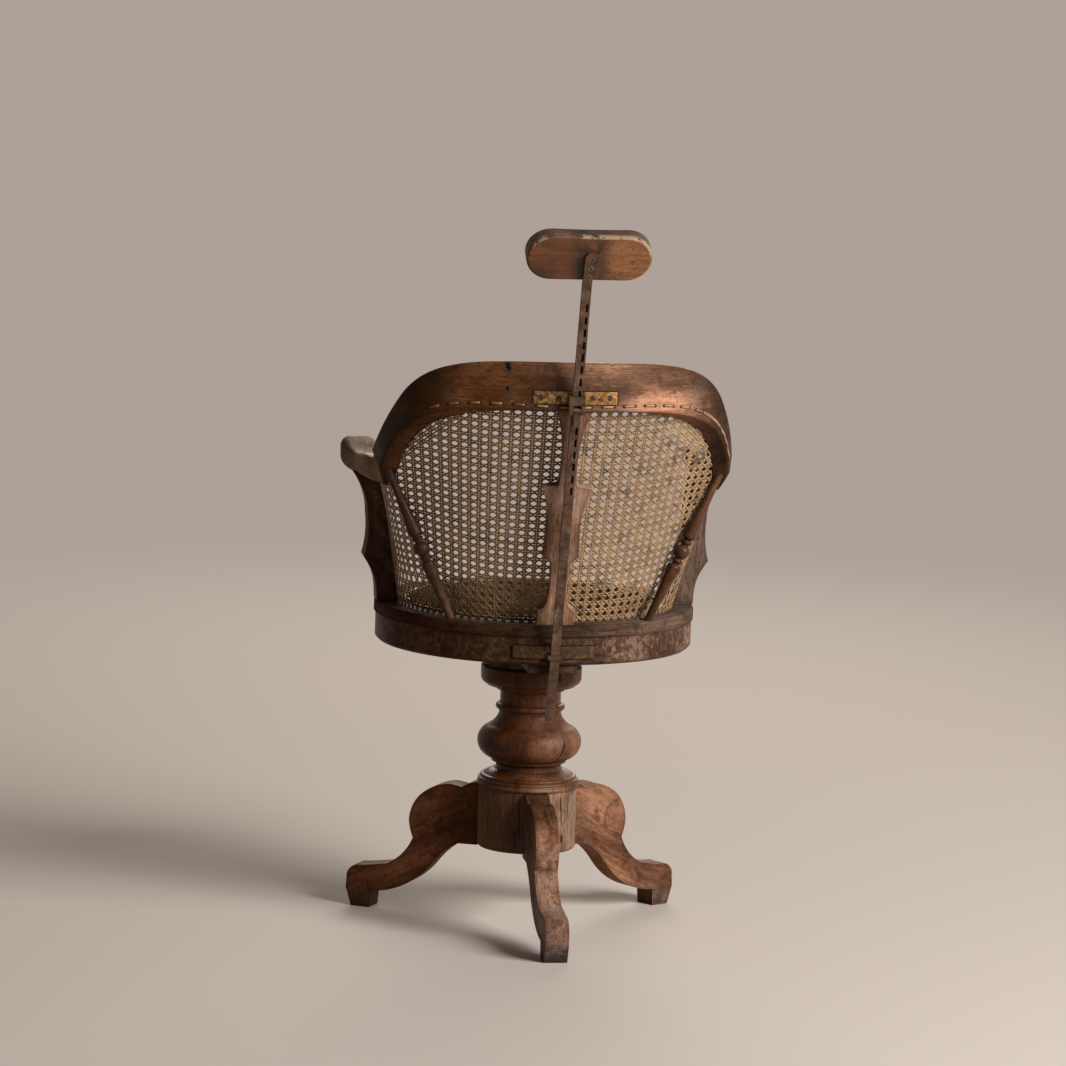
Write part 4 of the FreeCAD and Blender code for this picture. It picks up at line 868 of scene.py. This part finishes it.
def loop_at(side, angle, reach):
    """One strand from hole to hole, standing a little off the rail between them."""
    points = []
    normals = []
    count = 8
    for step in range(count + 1):
        share = step / count
        spot, normal = on_rail(side * (angle + (share - 0.5) * reach))
        stand = LOOP_STAND * math.sin(math.pi * share) ** 0.45 - LOOP_SINK
        points.append(spot + normal * stand)
        normals.append(normal)
    return flat_tube(points, normals, *LOOP_HALF)


def hole_at(spot, normal):
    """A dark hole's mouth, a little dished, on a surface: a disc of painted shade."""
    side = normal.cross(Vector((0, 0, 1))).normalized()
    up = side.cross(normal)
    corners = [spot + normal * HOLE_MIDDLE]
    faces = []
    for step in range(HOLE_SIDES):
        angle = 2 * math.pi * step / HOLE_SIDES
        outward = side * math.cos(angle) + up * math.sin(angle)
        corners.append(spot + normal * HOLE_BRIM + outward * HOLE_RADIUS)
        faces.append((0, step + 1, (step + 1) % HOLE_SIDES + 1))
    return corners, faces


def heads(name, outward):
    """The middle of each screw head in a node of several screws, found from its outermost corners."""
    mesh = nodes[name].data
    owner = list(range(len(mesh.vertices)))

    def root(index):
        while owner[index] != index:
            owner[index] = owner[owner[index]]
            index = owner[index]
        return index

    for edge in mesh.edges:
        owner[root(edge.vertices[0])] = root(edge.vertices[1])
    groups = {}
    for corner in mesh.vertices:
        groups.setdefault(root(corner.index), []).append(corner.co)
    found = []
    face_depth = 0.0004
    for group in groups.values():
        middle = sum(group, Vector()) / len(group)
        normal = outward(middle)
        far = max(normal.dot(corner) for corner in group)
        face = [corner for corner in group if normal.dot(corner) > far - face_depth]
        found.append((sum(face, Vector()) / len(face), normal))
    return found


def add_slots(material):
    """A driver slot across each screw head that shows, as a dark strip of painted shade."""
    def from_axis(centre_y):
        return lambda spot: Vector((spot.x, spot.y - centre_y, 0)).normalized()

    half_length, half_width = DRIVER_SLOT
    plan = [("upper_plate_screws", "seat", from_axis(RAIL_SETBACK)),
            ("lower_plate_screws", "seat", from_axis(0.0)),
            ("headrest_screws", "headrest", lambda spot: HEADREST_BACK)]
    for name, body, outward in plan:
        parts = []
        for index, (spot, normal) in enumerate(heads(name, outward)):
            turn = Matrix.Rotation(FIRST_SLOT_TURN + NEXT_SLOT_TURN * index, 3, normal)
            side = turn @ normal.cross(Vector((0, 0, 1))).normalized()
            over = normal.cross(side)
            spot = spot + normal * DRIVER_SLOT_STAND
            corners = [spot + side * (half_length * a) + over * (half_width * b) for a, b in SQUARE]
            parts.append((corners, [(0, 1, 2, 3)]))
        mesh_piece(name + "_slots", *joined(parts), material, body, "screws")


def add_dark_slot_fill(material):
    """Dark sheets that close the far side of each slot in the headrest's bar."""
    slide = [joint for joint in frame["joints"] if joint["name"] == "headrest_slide"][0]
    along_bar = Vector(slide["axis"]).normalized()
    across = Vector((1, 0, 0))
    outward = across.cross(along_bar)
    if outward.y < 0:
        outward = -outward
    corners = [corner.co for corner in nodes["headrest_bar"].data.vertices]
    near = 0.00003
    edges = [corner for corner in corners if abs(abs(corner.x + SLOT_ASIDE) - SLOT_WIDTH / 2) < near]
    ends = sorted({round(along_bar.dot(corner), 4) for corner in edges})
    depth = min(outward.dot(corner) for corner in edges) + SLOT_FILL_DEPTH
    parts = []
    for low in ends:
        high = low + SLOT_LENGTH
        # Only a pair of ends that lie a slot's length apart belongs to one slot.
        if min(abs(end - high) for end in ends) > 0.0002:
            continue
        spots = [across * (-SLOT_ASIDE + side * SLOT_WIDTH / 2) + along_bar * rise + outward * depth
                 for side, rise in ((-1, low), (1, low), (1, high), (-1, high))]
        parts.append((spots, [(0, 1, 2, 3)]))
    mesh_piece("dark_slot_fill", *joined(parts), material, "headrest", "iron")


def add_binders(material):
    """Cane laid along the edges of the panels: the seat's rim and the back's two front edges."""
    rim = []
    round_steps = 96
    for step in range(round_steps + 1):
        angle = 2 * math.pi * step / round_steps
        level = SEAT_TOP + BINDER_LIFT
        rim.append(Vector((BINDER_RADIUS * math.cos(angle), BINDER_RADIUS * math.sin(angle), level)))
    parts = [flat_tube(rim, [Vector((0, 0, 1))] * len(rim), *BINDER_HALF)]
    edge_steps = 24
    for side in (-1.0, 1.0):
        foot, head = ruling(side * BINDER_SHARE)
        edge = [foot.lerp(head, step / edge_steps) for step in range(edge_steps + 1)]
        parts.append(flat_tube(edge, [Vector((side, 0, 0))] * len(edge), *BINDER_HALF))
    mesh_piece("cane_binders", *joined(parts), material, "seat", "cane")


def surround_shown(maker, combine):
    """1 for rays that show the surround, also in a mirror or through glass, and 0 where it only lights."""
    path = maker("LightPath").outputs
    shown = combine(path["Is Camera Ray"], path["Is Glossy Ray"])
    return combine(shown, path["Is Transmission Ray"])


def add_floor():
    """A plain pale floor that fades into the pale surround."""
    material = Material("floor")
    shown = surround_shown(material.node, material.larger)
    strength = material.span(shown, 0.0, 1.0, AMBIENT, 1.0)
    glow = material.node("Emission", {"Color": SURROUND, "Strength": strength}).outputs["Emission"]
    material.set(Base_Color=material.mix(shown, FLOOR_BOUNCE, FLOOR_SHOWN), Roughness=0.85)
    spot = material.node("NewGeometry").outputs["Position"]
    far = material.node("VectorMath", {0: spot}, operation="LENGTH").outputs["Value"]
    fade = material.span(far, *FLOOR_FADE)
    blend = material.node("MixShader", {0: fade, 1: material.shader.outputs["BSDF"], 2: glow})
    material.feed(material.output.inputs["Surface"], blend.outputs["Shader"])
    mesh = bpy.data.meshes.new("floor")
    corners = [(x * FLOOR_REACH, y * FLOOR_REACH, 0) for x, y in SQUARE]
    mesh.from_pydata(corners, [], [(0, 1, 2, 3)])
    floor = bpy.data.objects.new("floor", mesh)
    scene.collection.objects.link(floor)
    mesh.materials.append(material.made)


def add_surround():
    """The world: the wall's colour where it is seen, and a weak warm light where it lights the object."""
    world = bpy.data.worlds.new("surround")
    scene.world = world
    world.use_nodes = True
    tree = world.node_tree

    def maker(kind):
        return tree.nodes.new("ShaderNode" + kind)

    def combine(first, second):
        either = maker("Math")
        either.operation = "MAXIMUM"
        tree.links.new(first, either.inputs[0])
        tree.links.new(second, either.inputs[1])
        return either.outputs[0]

    shown = surround_shown(maker, combine)
    level = maker("MapRange")
    level.inputs["To Min"].default_value = AMBIENT
    level.inputs["To Max"].default_value = 1.0
    tree.links.new(shown, level.inputs["Value"])
    tone = maker("Mix")
    tone.data_type = "RGBA"
    tone.inputs[6].default_value = AMBIENT_TONE
    tone.inputs[7].default_value = SURROUND
    tree.links.new(shown, tone.inputs[0])
    back = tree.nodes["Background"]
    tree.links.new(tone.outputs[2], back.inputs["Color"])
    tree.links.new(level.outputs["Result"], back.inputs["Strength"])


def add_lamp(name, place, target, watts, colour):
    data = bpy.data.lights.new(name, "AREA")
    data.shape = "DISK"
    data.size = LAMP_SIZE
    data.energy = watts
    data.color = colour
    lamp = bpy.data.objects.new(name, data)
    scene.collection.objects.link(lamp)
    lamp.location = place
    lamp.rotation_euler = (Vector(target) - Vector(place)).to_track_quat("-Z", "Y").to_euler()


def add_camera():
    data = bpy.data.cameras.new("camera")
    data.sensor_width = 36.0
    data.lens = FOCAL_PIXELS / PHOTO_PIXELS * data.sensor_width
    data.clip_end = 300.0
    camera = bpy.data.objects.new("camera", data)
    scene.collection.objects.link(camera)
    forward = Vector((0, -math.cos(CAMERA_PITCH), -math.sin(CAMERA_PITCH)))
    side = Vector((-1, 0, 0))
    up = side.cross(forward)
    right = side * math.cos(CAMERA_ROLL) + up * math.sin(CAMERA_ROLL)
    over = up * math.cos(CAMERA_ROLL) - side * math.sin(CAMERA_ROLL)
    turn = Matrix.Rotation(-CAMERA_TURN, 3, "Z")
    axes = turn @ Matrix((right, over, -forward)).transposed()
    spot = turn @ Vector((CAMERA_SIDE, CAMERA_DISTANCE, CAMERA_HEIGHT))
    camera.matrix_world = Matrix.Translation(spot) @ axes.to_4x4()
    scene.camera = camera


def dress(material, *names):
    """Give CAD nodes a material."""
    for name in names:
        slots = nodes[name].data.materials
        slots.clear()
        slots.append(material)


def leg_grain(turn):
    """Grain down the length of a leg that stands at an angle round the hub."""
    angle = math.radians(turn)
    return along(math.cos(angle), math.sin(angle), -0.55)


# Tones of the woods.
WALNUT = (0.310, 0.150, 0.088)
# Painted shade: the darker tone of the left leg, which stands on the shaded side.
SHADED_WALNUT = (0.225, 0.095, 0.046)
GREYED = (0.235, 0.165, 0.132)
RING_TOP = (0.145, 0.094, 0.069)
REDDISH = (0.400, 0.172, 0.066)
COLUMN = (0.165, 0.069, 0.033)
DUSKY = (0.230, 0.140, 0.100)
SPINDLE = (0.125, 0.054, 0.029)
SPLAT = (0.400, 0.245, 0.178)
# Greyed worn wood, partly a painted highlight: the arms' tone raised to the brightness of their sheen.
PALE_WORN_SHEEN = (0.350, 0.230, 0.168)
BEARER = (0.110, 0.060, 0.038)
DISC = (0.130, 0.070, 0.042)

# Tints that grow along an axis: the axis, where the tint is full, where there is none, and its colour.
# Painted light: the rail paler and greyer towards -X, on its lit side.
LIT_PALE_RAIL = ("X", -0.020, 0.115, (1.08, 1.32, 2.15))
# Painted shade: the rail darker at both its bends.
DARK_BENDS = [("X", -0.225, -0.165, (0.60, 0.52, 0.45)), ("X", 0.250, 0.215, (0.50, 0.52, 0.55))]
DRY_HUB = ("Z", 0.205, 0.228, (2.4, 3.3, 4.4))
# Painted shade: the column, the posts and the rings darker towards +X, their shaded side.
SHADY_SIDE = ("X", 0.030, -0.025, (0.68, 0.56, 0.44))
SHADY_POST = ("X", 0.100, -0.100, (0.55, 0.46, 0.38))
SHADY_RING = ("X", 0.060, -0.100, (0.72, 0.62, 0.50))
# Painted light: the splat lighter towards its foot.
LIT_TAIL = ("Z", SEAT_TOP + 0.040, SEAT_TOP + 0.080, (1.5, 1.42, 1.3))
GREY_FOOT = ("Z", 0.008, 0.045, (0.60, 0.80, 1.1))
GREY_SHIN = ("Z", 0.120, 0.170, (1.0, 1.28, 1.6))
DARK_KNEE = ("Z", 0.190, 0.150, (0.40, 0.38, 0.36))

# Bruises on the rail's back, by X, Z and radius.
RAIL_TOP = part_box("crest_rail")[1][2]
RAIL_BRUISES = [(0.094, RAIL_TOP - 0.008, 0.014), (0.094, RAIL_TOP - 0.041, 0.009)]

# Splits in the column, as scars takes them.
COLUMN_SCARS = [
    (-33, 0.250, 0.297, -4.0, 0.035), (-29, 0.246, 0.268, -6.0, 0.025), (16, 0.128, 0.208, 0.3, 0.022),
    (-36, 0.150, 0.212, 0.8, 0.022), (-48, 0.165, 0.212, 0.0, 0.02), (20, 0.120, 0.160, 0.0, 0.03),
    (-14, 0.120, 0.180, 0.0, 0.02), (60, 0.125, 0.205, 0.0, 0.02), (150, 0.125, 0.205, 0.0, 0.025),
    (-120, 0.125, 0.205, 0.0, 0.025), (-38, 0.131, 0.147, 0.0, 0.05), (-26, 0.375, 0.394, 0.0, 0.05)]

# The legs: the angle each stands at round the hub, its tone and its tints.
# The left leg's tone is painted shade.
LEGS = [("leg_back", 92.4, WALNUT, [GREY_FOOT, GREY_SHIN, DARK_KNEE]),
        ("leg_left", -27.6, SHADED_WALNUT, [GREY_FOOT]),
        ("leg_right", 212.4, WALNUT, [GREY_FOOT])]

rail_grain = bowed(RAIL_SETBACK, RAIL_RADIUS)
# dim_ends paints shade at the rail's ends.
dress(wood("rail_wood", rail_grain, REDDISH, grey=0.6, stain=0.45, smear=0.6,
           tints=[LIT_PALE_RAIL] + DARK_BENDS, dim_ends=(0.14, 0.24, 0.30), bruises=RAIL_BRUISES,
           plate="upper_guide_plate"), "crest_rail")
dress(wood("arm_wood", along(0, 1, 0), PALE_WORN_SHEEN, grey=0.6, polish=0.5), "arm_left", "arm_right")
dress(wood("post_wood", along(0, 0, 1), GREYED, grey=0.6, polish=0.55, tints=[SHADY_POST]),
      "arm_post_left", "arm_post_right")
dress(wood("splat_wood", along(0, 0.37, 1), SPLAT, grey=0.5, polish=0.55, stain=0.35, tints=[LIT_TAIL]),
      "back_splat")
dress(wood("spindle_wood_left", along(0.45, 0, 1), SPINDLE, grey=0.3, polish=0.32, sheen=0.16),
      "back_spindle_left")
dress(wood("spindle_wood_right", along(-0.45, 0, 1), SPINDLE, grey=0.3, polish=0.30, sheen=0.16),
      "back_spindle_right")
dress(wood("ring_upper_wood", bowed(0.0, 0.24), RING_TOP, grey=0.7, polish=0.62, stain=0.65, sheen=0.03,
           tints=[SHADY_RING]), "seat_ring_upper")
dress(wood("ring_lower_wood", along(0, 0, 1), DUSKY, grey=0.7, stain=1.0, smear=0.5, mottle=0.8,
           tints=[SHADY_RING], plate="lower_guide_plate"), "seat_ring_lower")
dress(wood("bearer_wood", along(0, 1, 0), BEARER), "seat_bearer")
dress(wood("disc_wood", along(1, 0, 0), DISC), "swivel_disc")
dress(wood("column_wood", along(0, 0, 1), COLUMN, grey=0.35, polish=0.28, sheen=0.16, flecks=0.45,
           tints=[DRY_HUB, SHADY_SIDE], marks=COLUMN_SCARS), "pedestal_column")
for leg, turn, tone, tints in LEGS:
    dress(wood(leg + "_wood", leg_grain(turn), tone, grey=0.4, polish=0.5, stain=0.7, smear=0.6,
               tints=tints), leg)
dress(headrest_wood(), "headrest_board")
dress(iron("rusty_iron", (0.100, 0.055, 0.036), (0.23, 0.175, 0.14)),
      "headrest_bar", "bar_keeper", "bar_strap", "thumb_catch", "catch_pin")
dress(iron("swivel_iron", (0.10, 0.07, 0.055), (0.30, 0.24, 0.20)),
      "column_bush", "spindle_footstep", "swivel_spindle")
dress(brass("upper_brass", 0.8), "upper_guide_plate")
dress(brass("lower_brass", 0.22), "lower_guide_plate")
dress(iron("dark_screws", (0.045, 0.030, 0.020), (0.085, 0.064, 0.046)),
      "upper_plate_screws", "lower_plate_screws", "bearer_screws", "spindle_flange_screws")
dress(iron("bare_screws", (0.17, 0.12, 0.09), (0.42, 0.35, 0.29)), "headrest_screws")

split_cane = cane("split_cane", (0.37, 0.240, 0.130), (0.095, 0.052, 0.024))
weave_back(split_cane)
weave_seat(cane("seat_cane_worn", (0.16, 0.090, 0.041), (0.045, 0.023, 0.010), sheen=0.02, polish=0.8))
drilled = plain_dark("drilled_holes")
add_loops(cane("loop_cane", (0.33, 0.185, 0.098), (0.09, 0.045, 0.020)), drilled)
add_slots(drilled)
add_dark_slot_fill(drilled)
add_binders(split_cane)

add_floor()
add_surround()
add_lamp("key", (-3.65, 3.6, 2.9), (0, 0.05, 0.5), 440.0, (1.0, 0.94, 0.87))
add_lamp("fill", (2.6, 4.4, 1.6), (0, 0, 0.55), 1.5, (1.0, 0.76, 0.52))
add_lamp("front", (-0.8, -4.2, 2.4), (0, 0, 0.6), 85.0, (1.0, 0.90, 0.78))
add_camera()
scene.view_settings.view_transform = "Standard"
